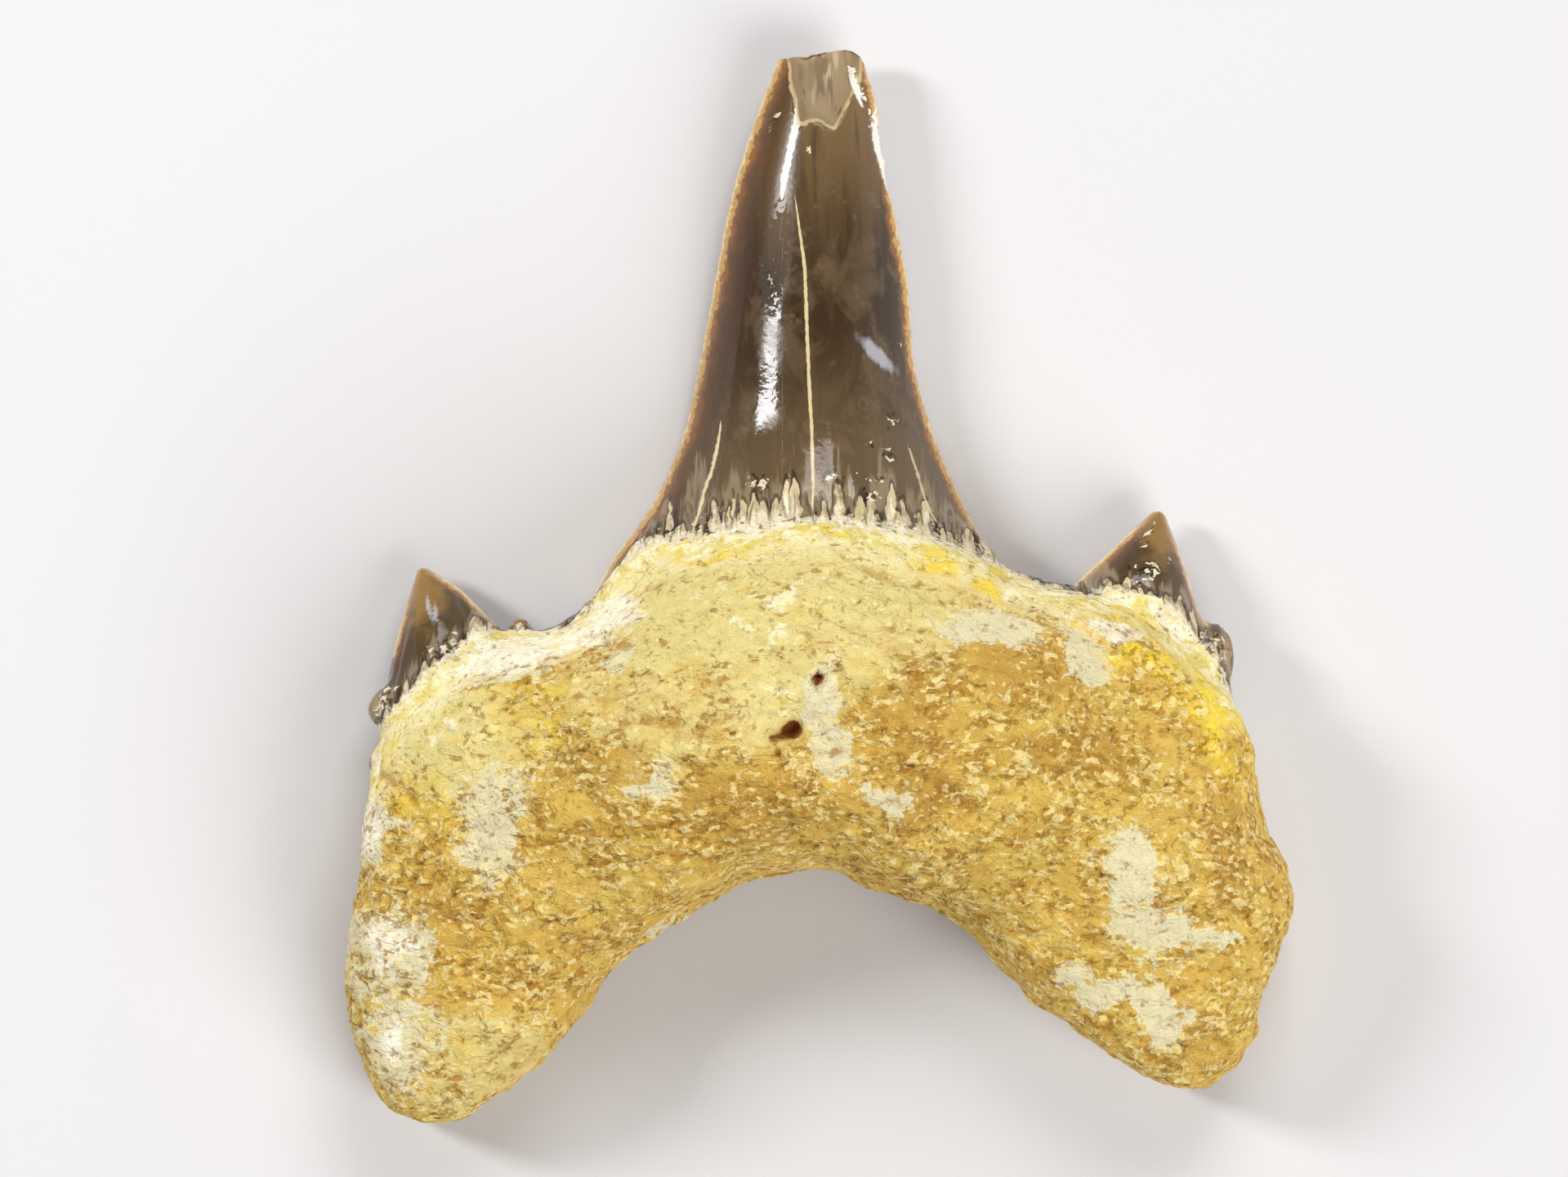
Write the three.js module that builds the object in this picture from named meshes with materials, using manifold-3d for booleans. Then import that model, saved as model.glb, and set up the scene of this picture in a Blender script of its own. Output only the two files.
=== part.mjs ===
// A fossil mackerel-shark tooth, lying on its flat labial face with the bulging lingual face up.
// Millimetres. +X runs to the right across the root, +Y from the root lobes to the broken cusp tip, +Z up.
// The tooth grew as one piece: a two-lobed root, one tall cusp and a cusplet on each side.
import * as THREE from "three";
import { ImprovedNoise } from "three/addons/math/ImprovedNoise.js";
import { mergeVertices } from "three/addons/utils/BufferGeometryUtils.js";
import Module from "manifold-3d";

// Driving dimensions of the whole tooth: lobe tips to cusp tip, and lobe to lobe.
const TOOTH_HEIGHT = 40;
const TOOTH_WIDTH = 35.4;
const TIP_Y = TOOTH_HEIGHT / 2;
const LOBE_Y = -TOOTH_HEIGHT / 2;
const SIDE_X = TOOTH_WIDTH / 2;

// Lattices: steps along each part and steps round its section.
const ROOT_LATTICE = { along: 72, round: 34 };
const CUSP_LATTICE = { along: 32, round: 28 };
const FOOT_LATTICE = { along: 26, round: 14 };
const CUSPLET_LATTICE = { along: 12, round: 14 };
const DENTICLE_LATTICE = { along: 7, round: 10 };
const PIT_LATTICE = { along: 6, round: 8 };

// Root outline seen from the lingual side, from the left lobe's tip over the top to the right lobe's tip.
// The outer margin runs up the left lobe, inside the crown's base, and down the right lobe.
const ROOT_OUTER = [
  [-14.9, LOBE_Y], [-16.1, -19.5], [-16.85, -18.1], [-17.5, -16.4], [-SIDE_X, -14.6], [-17.55, -12.1],
  [-17.2, -9.7], [-16.6, -6.9], [-15.3, -4.4], [-12.4, -2.4], [-9.2, -1.5], [-4.4, 2.0], [-0.1, 2.9],
  [3.9, 2.2], [7.4, 0.5], [10.6, -0.4], [13.4, -1.8], [15.3, -4.0], [16.3, -5.9], [16.6, -8.8],
  [SIDE_X, -11.4], [17.3, -13.7], [16.6, -15.7], [16.0, -17.6], [14.6, -18.8],
];
// The basal margin runs up the inside of the left lobe, through the arch and down to the right lobe's tip.
const ROOT_INNER = [
  [-14.9, LOBE_Y], [-13.5, -19.85], [-12.0, -18.9], [-10.3, -17.7], [-9.1, -16.4], [-8.2, -15.0],
  [-7.0, -13.7], [-5.5, -12.7], [-4.1, -11.9], [-2.7, -11.3], [-1.5, -10.8], [-0.7, -10.6], [-0.1, -10.5],
  [0.7, -10.6], [1.8, -11.1], [3.0, -11.6], [4.5, -12.1], [5.7, -12.9], [6.9, -14.3], [8.0, -15.6],
  [9.3, -16.5], [10.5, -17.4], [11.7, -18.2], [12.9, -18.7], [14.6, -18.8],
];
// Along the root: height of the margin's middle line, rise of the lingual face and depth of the labial face.
const ROOT_MIDDLE = [2.6, 2.9, 3.1, 3.1, 3.0, 3.1, 3.1, 2.9, 2.6];
const ROOT_RISE = [2.6, 3.6, 4.6, 7.2, 8.6, 7.4, 4.9, 3.8, 2.7];
const ROOT_DEPTH = [2.6, 2.95, 2.5, 2.2, 2.1, 2.2, 2.5, 2.95, 2.65];
// Across the lingual face, from the basal margin to the outer one, as shares of its rise: the lobes are flat
// pads, and the middle is the protuberance, which slopes down to the crown's neck.
const LOBE_PROFILE = [0, 0.6, 0.88, 0.98, 1, 0.97, 0.86, 0.58, 0];
const MIDDLE_PROFILE = [0, 0.56, 0.88, 1, 0.97, 0.8, 0.56, 0.29, 0];
const LABIAL_POWER = 0.5;
const ROOT_END_SHARE = 0.11;

// Swellings and hollows of the lingual face: place, radius and height.
const LUMPS = [
  { name: "right swelling", at: [6.6, -3.2], radius: 3.0, height: 0.9 },
  { name: "left swelling", at: [-7.4, -4.0], radius: 3.0, height: 0.6 },
  { name: "right gutter", at: [10.9, -4.2], radius: 1.8, height: -1.0 },
  { name: "left gutter", at: [-11.3, -5.4], radius: 1.8, height: -0.6 },
  { name: "nutrient groove", at: [-1.0, -5.6], radius: 1.4, height: -0.5 },
  { name: "right lobe crest", at: [13.4, -11.0], radius: 2.6, height: 0.6 },
  { name: "left lobe crest", at: [-13.2, -12.6], radius: 2.8, height: 0.5 },
];
// Weathered bone: noise over the root, as size of a lump and its height.
const ROUGHNESS = [
  { size: 4.2, height: 0.3 },
  { size: 1.9, height: 0.17 },
];

// Cutting edges of the main cusp, from inside the root to the broken tip.
const CUSP_LEFT = [
  [-8.4, -2.4], [-8.6, -0.8], [-7.9, 0.8], [-6.2, 3.2], [-5.1, 5.8], [-4.5, 8.6],
  [-4.0, 11.2], [-3.35, 14.5], [-2.5, 17.3], [-1.6, 19.6],
];
const CUSP_RIGHT = [
  [7.2, -2.0], [7.2, -0.4], [6.5, 1.1], [5.3, 3.4], [4.3, 5.8], [3.6, 8.4],
  [3.4, 11.2], [2.9, 13.9], [2.45, 16.8], [1.75, TIP_Y],
];
// Along the cusp: height of the cutting edges, rise of the lingual face and depth of the labial face.
const CUSP_MIDDLE = [2.6, 1.6, 0.75, 0.5, 0.5, 0.6, 0.8, 1.1, 1.45, 1.75];
const CUSP_RISE = [2.4, 4.4, 5.4, 4.9, 4.2, 3.8, 3.4, 2.85, 2.25, 1.7];
const CUSP_DEPTH = [0.3, 0.5, 0.68, 0.68, 0.66, 0.62, 0.55, 0.45, 0.35, 0.3];
const CUSP_POWERS = [1.35, 1.6];
// The last step along the cusp closes it as a blunt broken end.
const CUSP_END_SHARE = 1 / CUSP_LATTICE.along;

// The enamelled foot of the crown, which joins the cusp to its cusplets along the top of the root. Its lower
// edge is the arched border that overhangs the labial face of the root.
const FOOT_LOWER = [
  [-15.9, -5.6], [-14.4, -5.3], [-11.6, -4.0], [-7.2, -2.3], [-2.4, -0.7], [2.4, -0.6], [7.0, -1.9],
  [10.6, -3.2], [13.2, -4.4], [14.9, -5.4],
];
const FOOT_UPPER = [
  [-16.0, -4.2], [-15.2, -2.4], [-12.2, -2.1], [-9.3, -1.2], [-5.2, 2.6], [4.4, 2.8], [7.6, 0.0],
  [10.4, 0.0], [13.6, -0.8], [15.1, -3.6],
];
const FOOT_MIDDLE = [1.9, 1.5, 1.35, 1.2, 1.0, 1.0, 1.2, 1.4, 1.55, 1.9];
const FOOT_RISE = [1.3, 2.0, 1.7, 2.4, 3.6, 3.6, 2.4, 2.0, 2.0, 1.3];
const FOOT_DEPTH = [0.8, 1.0, 0.95, 0.9, 0.8, 0.8, 0.9, 0.95, 1.0, 0.8];
const FOOT_POWERS = [0.9, 0.55];

const CUSPLETS = [
  {
    left: [[-16.5, -5.2], [-16.05, -2.6], [-15.6, -0.9], [-15.1, 0.65]],
    right: [[-10.4, -3.4], [-12.2, -1.5], [-13.5, -0.2], [-14.85, 0.65]],
    middle: [1.6, 1.4, 1.3, 1.3],
    rise: [3.4, 2.8, 1.8, 0.5],
    depth: [0.9, 0.75, 0.55, 0.25],
  },
  {
    left: [[7.8, -2.8], [9.7, 0.0], [11.1, 1.4], [12.6, 2.75]],
    right: [[15.7, -4.4], [14.5, -1.5], [13.75, 0.8], [13.0, 2.75]],
    middle: [1.6, 1.4, 1.3, 1.3],
    rise: [3.6, 3.0, 2.0, 0.6],
    depth: [0.9, 0.75, 0.55, 0.25],
  },
];
const CUSPLET_POWERS = [1.15, 1.4];

// Worn denticles: two outside the left cusplet, one outside the right one and one beside the left heel.
const DENTICLES = [
  {
    left: [[-14.9, -5.7], [-16.3, -5.6], [-16.75, -5.35], [-17.0, -5.0]],
    right: [[-14.7, -3.3], [-16.0, -3.7], [-16.6, -4.0], [-16.95, -4.5]],
    middle: [2.6, 2.5, 2.4, 2.3],
    rise: [1.7, 1.3, 1.0, 0.5],
    depth: [1.2, 1.0, 0.8, 0.4],
  },
  {
    left: [[-15.4, -7.8], [-16.5, -7.6], [-16.85, -7.2], [-17.0, -6.8]],
    right: [[-15.2, -5.9], [-16.4, -6.0], [-16.8, -6.1], [-16.95, -6.3]],
    middle: [2.8, 2.7, 2.6, 2.6],
    rise: [1.3, 1.0, 0.7, 0.4],
    depth: [1.0, 0.9, 0.7, 0.3],
  },
  {
    left: [[13.7, -1.6], [14.8, -1.4], [15.3, -1.75], [15.6, -2.4]],
    right: [[13.9, -4.5], [15.0, -4.3], [15.4, -3.8], [15.65, -3.1]],
    middle: [2.5, 2.4, 2.3, 2.3],
    rise: [2.0, 1.5, 1.1, 0.5],
    depth: [1.2, 1.0, 0.8, 0.4],
  },
  {
    left: [[-12.1, -3.2], [-12.0, -2.3], [-11.75, -1.7], [-11.4, -1.35]],
    right: [[-10.2, -3.2], [-10.4, -2.4], [-10.7, -1.8], [-11.0, -1.35]],
    middle: [1.9, 1.8, 1.8, 1.8],
    rise: [1.6, 1.2, 0.9, 0.3],
    depth: [0.8, 0.7, 0.6, 0.3],
  },
];

// Nutrient foramina on the protuberance: mouth and half sizes.
const FORAMINA = [
  { at: [-1.0, -5.4, 11.0], size: [0.55, 0.5, 1.6] },
  { at: [-0.05, -3.6, 11.2], size: [0.3, 0.3, 1.1] },
];

// The flake lost from the lingual side of the tip: its lower edge, the tilt of the scar and its sizes.
const FLAKE = { edge: [0.15, 17.3, 3.2], tilt: 0.42, width: 2.7, length: 4, thickness: 2 };

// Everything under the resting plane is ground off, which leaves small flats on the labial face.
const FLOOR = { size: 60, depth: 10 };

const wasm = await Module();
wasm.setup();

const curveOf = (points) => new THREE.SplineCurve(points.map(([x, y]) => new THREE.Vector2(x, y)));
const graphOf = (values) => curveOf(values.map((v, i) => [i / (values.length - 1), v]));

// A rounded power of a sine: 1 in the middle of a face and 0 at its edges.
const swell = (angle, power) => Math.pow(Math.abs(Math.sin(angle)), power);

// Bends a sphere's lattice into a swept body. place(share, angle) gives the point at a share of the way
// from one pole to the other and an angle round the section.
function lattice({ along, round }, place) {
  const sphere = new THREE.SphereGeometry(1, round, along);
  const from = sphere.attributes.position;
  for (let i = 0; i < from.count; i++) {
    const row = Math.floor(i / (round + 1));
    const column = (i % (round + 1)) % round;
    const point = place(row / along, (column / round) * 2 * Math.PI);
    from.setXYZ(i, point.x, point.y, point.z);
  }
  return sphere;
}

function solidOf(geometry) {
  const bare = geometry.clone();
  bare.deleteAttribute("normal");
  bare.deleteAttribute("uv");
  const merged = mergeVertices(bare, 1e-4);
  const solid = new wasm.Manifold(
    new wasm.Mesh({
      numProp: 3,
      vertProperties: merged.attributes.position.array,
      triVerts: new Uint32Array(merged.index.array),
    }),
  );
  if (solid.volume() > 0) return solid;
  const flipped = new Uint32Array(merged.index.array).reverse();
  return new wasm.Manifold(
    new wasm.Mesh({ numProp: 3, vertProperties: merged.attributes.position.array, triVerts: flipped }),
  );
}

// A body between two edges: its faces rise and sink from the line that joins them.
function betweenEdges(left, right, middle, rise, depth, powers) {
  return (share, angle) => {
    const across = (1 - Math.cos(angle)) / 2;
    const a = left.getPoint(share);
    const b = right.getPoint(share);
    const lingual = Math.sin(angle) >= 0;
    const full = lingual ? rise.getPoint(share).y : -depth.getPoint(share).y;
    return new THREE.Vector3(
      a.x + (b.x - a.x) * across,
      a.y + (b.y - a.y) * across,
      middle.getPoint(share).y + full * swell(angle, lingual ? powers[0] : powers[1]),
    );
  };
}

// 1 along the body, falling to 0 at each pole as a quarter ellipse does.
const roundEnds = (width) => (share) => {
  const inward = Math.min(1, Math.min(share, 1 - share) / width);
  return Math.sqrt(1 - (1 - inward) ** 2);
};

const lumpAt = (x, y) =>
  LUMPS.reduce((sum, lump) => {
    const far = Math.hypot(x - lump.at[0], y - lump.at[1]) / lump.radius;
    return sum + lump.height * Math.exp(-far * far);
  }, 0);

const noise = new ImprovedNoise();
const roughnessAt = (p) =>
  ROUGHNESS.reduce((sum, { size, height }) => sum + height * noise.noise(p.x / size, p.y / size, p.z / size), 0);

function root() {
  const inner = curveOf(ROOT_INNER);
  const outer = curveOf(ROOT_OUTER);
  const middle = graphOf(ROOT_MIDDLE);
  const rise = graphOf(ROOT_RISE);
  const depth = graphOf(ROOT_DEPTH);
  const lobe = graphOf(LOBE_PROFILE);
  const centre = graphOf(MIDDLE_PROFILE);
  const ends = roundEnds(ROOT_END_SHARE);
  return lattice(ROOT_LATTICE, (share, angle) => {
    const across = (1 - Math.cos(angle)) / 2;
    const a = inner.getPoint(share);
    const b = outer.getPoint(share);
    const p = new THREE.Vector3(a.x + (b.x - a.x) * across, a.y + (b.y - a.y) * across, 0);
    p.z = middle.getPoint(share).y;
    const face = Math.sin(angle) * ends(share);
    if (angle > 0 && angle < Math.PI) {
      const turn = angle / Math.PI;
      const central = Math.sin(Math.PI * share) ** 4;
      const profile = lobe.getPoint(turn).y * (1 - central) + centre.getPoint(turn).y * central;
      p.z += rise.getPoint(share).y * profile * ends(share) + lumpAt(p.x, p.y) * face;
    } else {
      p.z -= depth.getPoint(share).y * swell(angle, LABIAL_POWER) * ends(share);
    }
    const skin = roughnessAt(p) * Math.min(1, Math.abs(face) * 2);
    p.z += skin * Math.sign(face);
    return p;
  });
}

// A swept body whose two end sections close flat, with the poles in their middles.
function blade(shape, size, powers, endShare) {
  const plain = betweenEdges(
    curveOf(shape.left),
    curveOf(shape.right),
    graphOf(shape.middle),
    graphOf(shape.rise),
    graphOf(shape.depth),
    powers,
  );
  return lattice(size, (share, angle) => {
    const body = Math.min(1, Math.max(0, (share - endShare) / (1 - 2 * endShare)));
    if (share > 0 && share < 1) return plain(body, angle);
    return plain(body, Math.PI / 2).lerp(plain(body, -Math.PI / 2), 0.5);
  });
}

const pit = ({ at, size }) =>
  new THREE.SphereGeometry(1, PIT_LATTICE.round, PIT_LATTICE.along).scale(...size).translate(...at);

function tooth() {
  const cusp = { left: CUSP_LEFT, right: CUSP_RIGHT, middle: CUSP_MIDDLE, rise: CUSP_RISE, depth: CUSP_DEPTH };
  const foot = { left: FOOT_LOWER, right: FOOT_UPPER, middle: FOOT_MIDDLE, rise: FOOT_RISE, depth: FOOT_DEPTH };
  let body = solidOf(root()).add(solidOf(blade(cusp, CUSP_LATTICE, CUSP_POWERS, CUSP_END_SHARE)));
  body = body.add(solidOf(blade(foot, FOOT_LATTICE, FOOT_POWERS, 0)));
  for (const shape of CUSPLETS) body = body.add(solidOf(blade(shape, CUSPLET_LATTICE, CUSPLET_POWERS, 0)));
  for (const shape of DENTICLES) body = body.add(solidOf(blade(shape, DENTICLE_LATTICE, CUSPLET_POWERS, 0)));
  for (const shape of FORAMINA) body = body.subtract(solidOf(pit(shape)));
  const flake = new THREE.BoxGeometry(FLAKE.width, FLAKE.length, FLAKE.thickness)
    .translate(0, FLAKE.length / 2, FLAKE.thickness / 2)
    .rotateX(-FLAKE.tilt)
    .translate(...FLAKE.edge);
  body = body.subtract(solidOf(flake));
  const floor = new THREE.BoxGeometry(FLOOR.size, FLOOR.size, FLOOR.depth).translate(0, 0, -FLOOR.depth / 2);
  return body.subtract(solidOf(floor));
}

function geometryOf(solid) {
  const mesh = solid.getMesh();
  const geometry = new THREE.BufferGeometry()
    .setAttribute("position", new THREE.BufferAttribute(new Float32Array(mesh.vertProperties), 3))
    .setIndex(new THREE.BufferAttribute(new Uint32Array(mesh.triVerts), 1));
  geometry.computeVertexNormals();
  return geometry;
}

const fossil = new THREE.MeshStandardMaterial({ color: "#c7a352", roughness: 0.75, metalness: 0 });

const part = new THREE.Group();
const mesh = new THREE.Mesh(geometryOf(tooth()), fossil);
mesh.name = "tooth";
part.add(mesh);
export default part;
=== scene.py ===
# %% [markdown]
# # A fossil shark tooth, finished from numpy surfaces
# The tooth of a Cretaceous mackerel shark: glossy dark enamel on one tall cusp and two cusplets, and a
# thick root of ochre bone. It lies on its flat labial face, and the camera looks down on the bulging
# lingual face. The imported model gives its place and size, and this script makes the fine surface.

import bpy
import numpy as np
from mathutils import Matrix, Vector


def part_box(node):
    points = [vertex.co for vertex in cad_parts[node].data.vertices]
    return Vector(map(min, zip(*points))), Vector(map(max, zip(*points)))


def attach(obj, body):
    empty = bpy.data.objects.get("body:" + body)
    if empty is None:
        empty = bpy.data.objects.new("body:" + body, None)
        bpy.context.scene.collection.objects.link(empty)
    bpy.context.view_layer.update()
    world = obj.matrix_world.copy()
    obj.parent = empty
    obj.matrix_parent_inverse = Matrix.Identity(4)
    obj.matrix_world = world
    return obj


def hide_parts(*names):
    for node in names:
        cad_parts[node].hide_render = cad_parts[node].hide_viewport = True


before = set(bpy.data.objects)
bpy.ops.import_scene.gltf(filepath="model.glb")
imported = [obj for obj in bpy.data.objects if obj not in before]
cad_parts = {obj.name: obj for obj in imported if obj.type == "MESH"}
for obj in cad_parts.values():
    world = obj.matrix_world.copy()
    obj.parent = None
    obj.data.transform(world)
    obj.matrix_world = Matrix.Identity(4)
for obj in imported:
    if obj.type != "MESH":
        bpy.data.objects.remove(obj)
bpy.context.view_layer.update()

# %% [markdown]
# All shapes below are worked out in millimetres, because a tooth's features are a fraction of one, and are
# turned to metres once, when they go into the mesh. The outer sizes come from the frame.

# %% Sizes from the frame
MM = 0.001
low, high = (np.array(corner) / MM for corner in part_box("tooth"))
TOOTH_WIDTH, TOOTH_HEIGHT, TOOTH_THICKNESS = high - low
LOBE_Y = -TOOTH_HEIGHT / 2
TIP_Y = TOOTH_HEIGHT / 2
SIDE_X = TOOTH_WIDTH / 2
print("tooth, mm:", np.round([TOOTH_WIDTH, TOOTH_HEIGHT, TOOTH_THICKNESS], 2))

# %% [markdown]
# ## Curves
# Each part of the tooth lies between two outlines, and its thickness follows a few values along it. Both
# are smooth curves through a handful of points, so one function serves for all of them.


# %% A smooth curve through points
def spline(points, share):
    """Point at `share` (0 to 1) of the curve through `points`: on each stretch a cubic that starts and ends
    with half the step between its neighbours as its slope."""
    points = np.asarray(points, float)
    if points.ndim == 1:
        points = points[:, None]
    last = len(points) - 1
    place = np.clip(share, 0, 1) * last
    stretch = np.minimum(place.astype(int), last - 1)
    t = (place - stretch)[..., None]
    before, start, end, after = (points[np.clip(stretch + k, 0, last)] for k in (-1, 0, 1, 2))
    leave = (end - before) / 2
    arrive = (after - start) / 2
    cubic = 2 * start - 2 * end + leave + arrive
    square = 3 * end - 3 * start - 2 * leave - arrive
    return ((cubic * t + square) * t + leave) * t + start


def graph(values, share):
    """The smooth curve through evenly spaced values, read at `share`."""
    return spline(values, share)[..., 0]


def smooth_step(low_end, high_end, value):
    """0 below the low end, 1 above the high end, and 3t^2 - 2t^3 between them."""
    t = np.clip((value - low_end) / (high_end - low_end), 0, 1)
    return t * t * (3 - 2 * t)


# %% [markdown]
# ## The root
# A root like this is one thick bow. Its section goes from the basal margin in the arch to the outer margin.
# The lobes are flat pads, and the middle swells into the protuberance, which slopes down to the crown's
# neck. A grid of share along the bow by angle round the section gives the whole closed surface.

# %% Root outlines and heights
ROOT_OUTER = [
    [-14.9, LOBE_Y], [-16.1, -19.5], [-16.85, -18.1], [-17.5, -16.4], [-SIDE_X, -14.6], [-17.55, -12.1],
    [-17.2, -9.7], [-16.6, -6.9], [-15.3, -4.4], [-12.4, -2.4], [-9.2, -1.5], [-4.4, 2.0], [-0.1, 2.9],
    [3.9, 2.2], [7.4, 0.5], [10.6, -0.4], [13.4, -1.8], [15.3, -4.0], [16.3, -5.9], [16.6, -8.8],
    [SIDE_X, -11.4], [17.3, -13.7], [16.6, -15.7], [16.0, -17.6], [14.6, -18.8],
]
ROOT_INNER = [
    [-14.9, LOBE_Y], [-13.5, -19.85], [-12.0, -18.9], [-10.3, -17.7], [-9.1, -16.4], [-8.2, -15.0],
    [-7.0, -13.7], [-5.5, -12.7], [-4.1, -11.9], [-2.7, -11.3], [-1.5, -10.8], [-0.7, -10.6],
    [-0.1, -10.5], [0.7, -10.6], [1.8, -11.1], [3.0, -11.6], [4.5, -12.1], [5.7, -12.9], [6.9, -14.3],
    [8.0, -15.6], [9.3, -16.5], [10.5, -17.4], [11.7, -18.2], [12.9, -18.7], [14.6, -18.8],
]
ROOT_MIDDLE = [2.6, 2.9, 3.1, 3.1, 3.0, 3.1, 3.1, 2.9, 2.6]
ROOT_RISE = [2.6, 3.6, 4.6, 7.2, 8.6, 7.4, 4.9, 3.8, 2.7]
ROOT_DEPTH = [2.6, 2.95, 2.5, 2.2, 2.1, 2.2, 2.5, 2.95, 2.65]
LOBE_PROFILE = [0, 0.6, 0.88, 0.98, 1, 0.97, 0.86, 0.58, 0]
MIDDLE_PROFILE = [0, 0.56, 0.88, 1, 0.97, 0.8, 0.56, 0.29, 0]
LABIAL_POWER = 0.5
ROOT_END_SHARE = 0.11
LUMPS = {
    "right swelling": (6.6, -3.2, 3.0, 0.9),
    "left swelling": (-7.4, -4.0, 3.0, 0.6),
    "right gutter": (10.9, -4.2, 1.8, -1.0),
    "left gutter": (-11.3, -5.4, 1.8, -0.6),
    "nutrient groove": (-1.0, -5.6, 1.4, -0.5),
    "right lobe crest": (13.4, -11.0, 2.6, 0.6),
    "left lobe crest": (-13.2, -12.6, 2.8, 0.5),
}
print("arch of the root, mm deep:", round(max(y for x, y in ROOT_INNER) - LOBE_Y, 1))


# %% Root surface
def lump_height(x, y):
    """Sum of round lumps: height * exp(-(distance / radius)^2) for each one."""
    total = 0
    for at_x, at_y, radius, height in LUMPS.values():
        total = total + height * np.exp(-((x - at_x) ** 2 + (y - at_y) ** 2) / radius**2)
    return total


def root_surface(share, angle):
    """Point of the root at `share` along the bow and `angle` round the section. The two margins are joined
    by across = (1 - cos angle) / 2. The lingual face stands rise * profile above the middle line, and the
    labial face depth * |sin angle|^0.5 below it. Both die away at the lobes' tips like a quarter circle."""
    across = (1 - np.cos(angle)) / 2
    inner = spline(ROOT_INNER, share)
    outer = spline(ROOT_OUTER, share)
    x = inner[..., 0] + (outer - inner)[..., 0] * across
    y = inner[..., 1] + (outer - inner)[..., 1] * across
    inward = np.minimum(1, np.minimum(share, 1 - share) / ROOT_END_SHARE)
    ends = np.sqrt(1 - (1 - inward) ** 2)
    turn = np.clip(angle / np.pi, 0, 1)
    central = np.sin(np.pi * share) ** 4
    profile = graph(LOBE_PROFILE, turn) * (1 - central) + graph(MIDDLE_PROFILE, turn) * central
    above = graph(ROOT_RISE, share) * profile * ends + lump_height(x, y) * np.sin(angle) * ends
    below = -graph(ROOT_DEPTH, share) * np.abs(np.sin(angle)) ** LABIAL_POWER * ends
    z = graph(ROOT_MIDDLE, share) + np.where(angle <= np.pi, above, below)
    return np.stack([x, y, z], axis=-1)


# %% [markdown]
# ## The crown
# The cusp, the enamelled foot that links it to its cusplets, the cusplets and the worn denticles are all
# blades: a left and a right cutting edge with a face that bulges up and one that bulges down between them.

# %% Blade shapes
CUSP = {
    "left": [
        [-8.4, -2.4], [-8.6, -0.8], [-7.9, 0.8], [-6.2, 3.2], [-5.1, 5.8], [-4.5, 8.6],
        [-4.0, 11.2], [-3.35, 14.5], [-2.5, 17.3], [-1.6, 19.6],
    ],
    "right": [
        [7.2, -2.0], [7.2, -0.4], [6.5, 1.1], [5.3, 3.4], [4.3, 5.8], [3.6, 8.4],
        [3.4, 11.2], [2.9, 13.9], [2.45, 16.8], [1.75, TIP_Y],
    ],
    "middle": [2.6, 1.6, 0.75, 0.5, 0.5, 0.6, 0.8, 1.1, 1.45, 1.75],
    "rise": [2.4, 4.4, 5.4, 4.9, 4.2, 3.8, 3.4, 2.85, 2.25, 1.7],
    "depth": [0.3, 0.5, 0.68, 0.68, 0.66, 0.62, 0.55, 0.45, 0.35, 0.3],
    "powers": (1.35, 1.6),
}
FOOT = {
    "left": [
        [-15.9, -5.6], [-14.4, -5.3], [-11.6, -4.0], [-7.2, -2.3], [-2.4, -0.7], [2.4, -0.6],
        [7.0, -1.9], [10.6, -3.2], [13.2, -4.4], [14.9, -5.4],
    ],
    "right": [
        [-16.0, -4.2], [-15.2, -2.4], [-12.2, -2.1], [-9.3, -1.2], [-5.2, 2.6], [4.4, 2.8],
        [7.6, 0.0], [10.4, 0.0], [13.6, -0.8], [15.1, -3.6],
    ],
    "middle": [1.9, 1.5, 1.35, 1.2, 1.0, 1.0, 1.2, 1.4, 1.55, 1.9],
    "rise": [1.3, 2.0, 1.7, 2.4, 3.6, 3.6, 2.4, 2.0, 2.0, 1.3],
    "depth": [0.8, 1.0, 0.95, 0.9, 0.8, 0.8, 0.9, 0.95, 1.0, 0.8],
    "powers": (0.9, 0.55),
}


# %% Cusplets and worn denticles
SMALL_BLADE_POWERS = (1.15, 1.4)


def small_blade(left, right, middle, rise, depth):
    """A cusplet or a denticle. All of them are round in the same way, so only their outlines, their middle
    line and their heights differ."""
    shape = {"left": left, "right": right, "middle": middle, "rise": rise, "depth": depth}
    return {**shape, "powers": SMALL_BLADE_POWERS}


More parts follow.
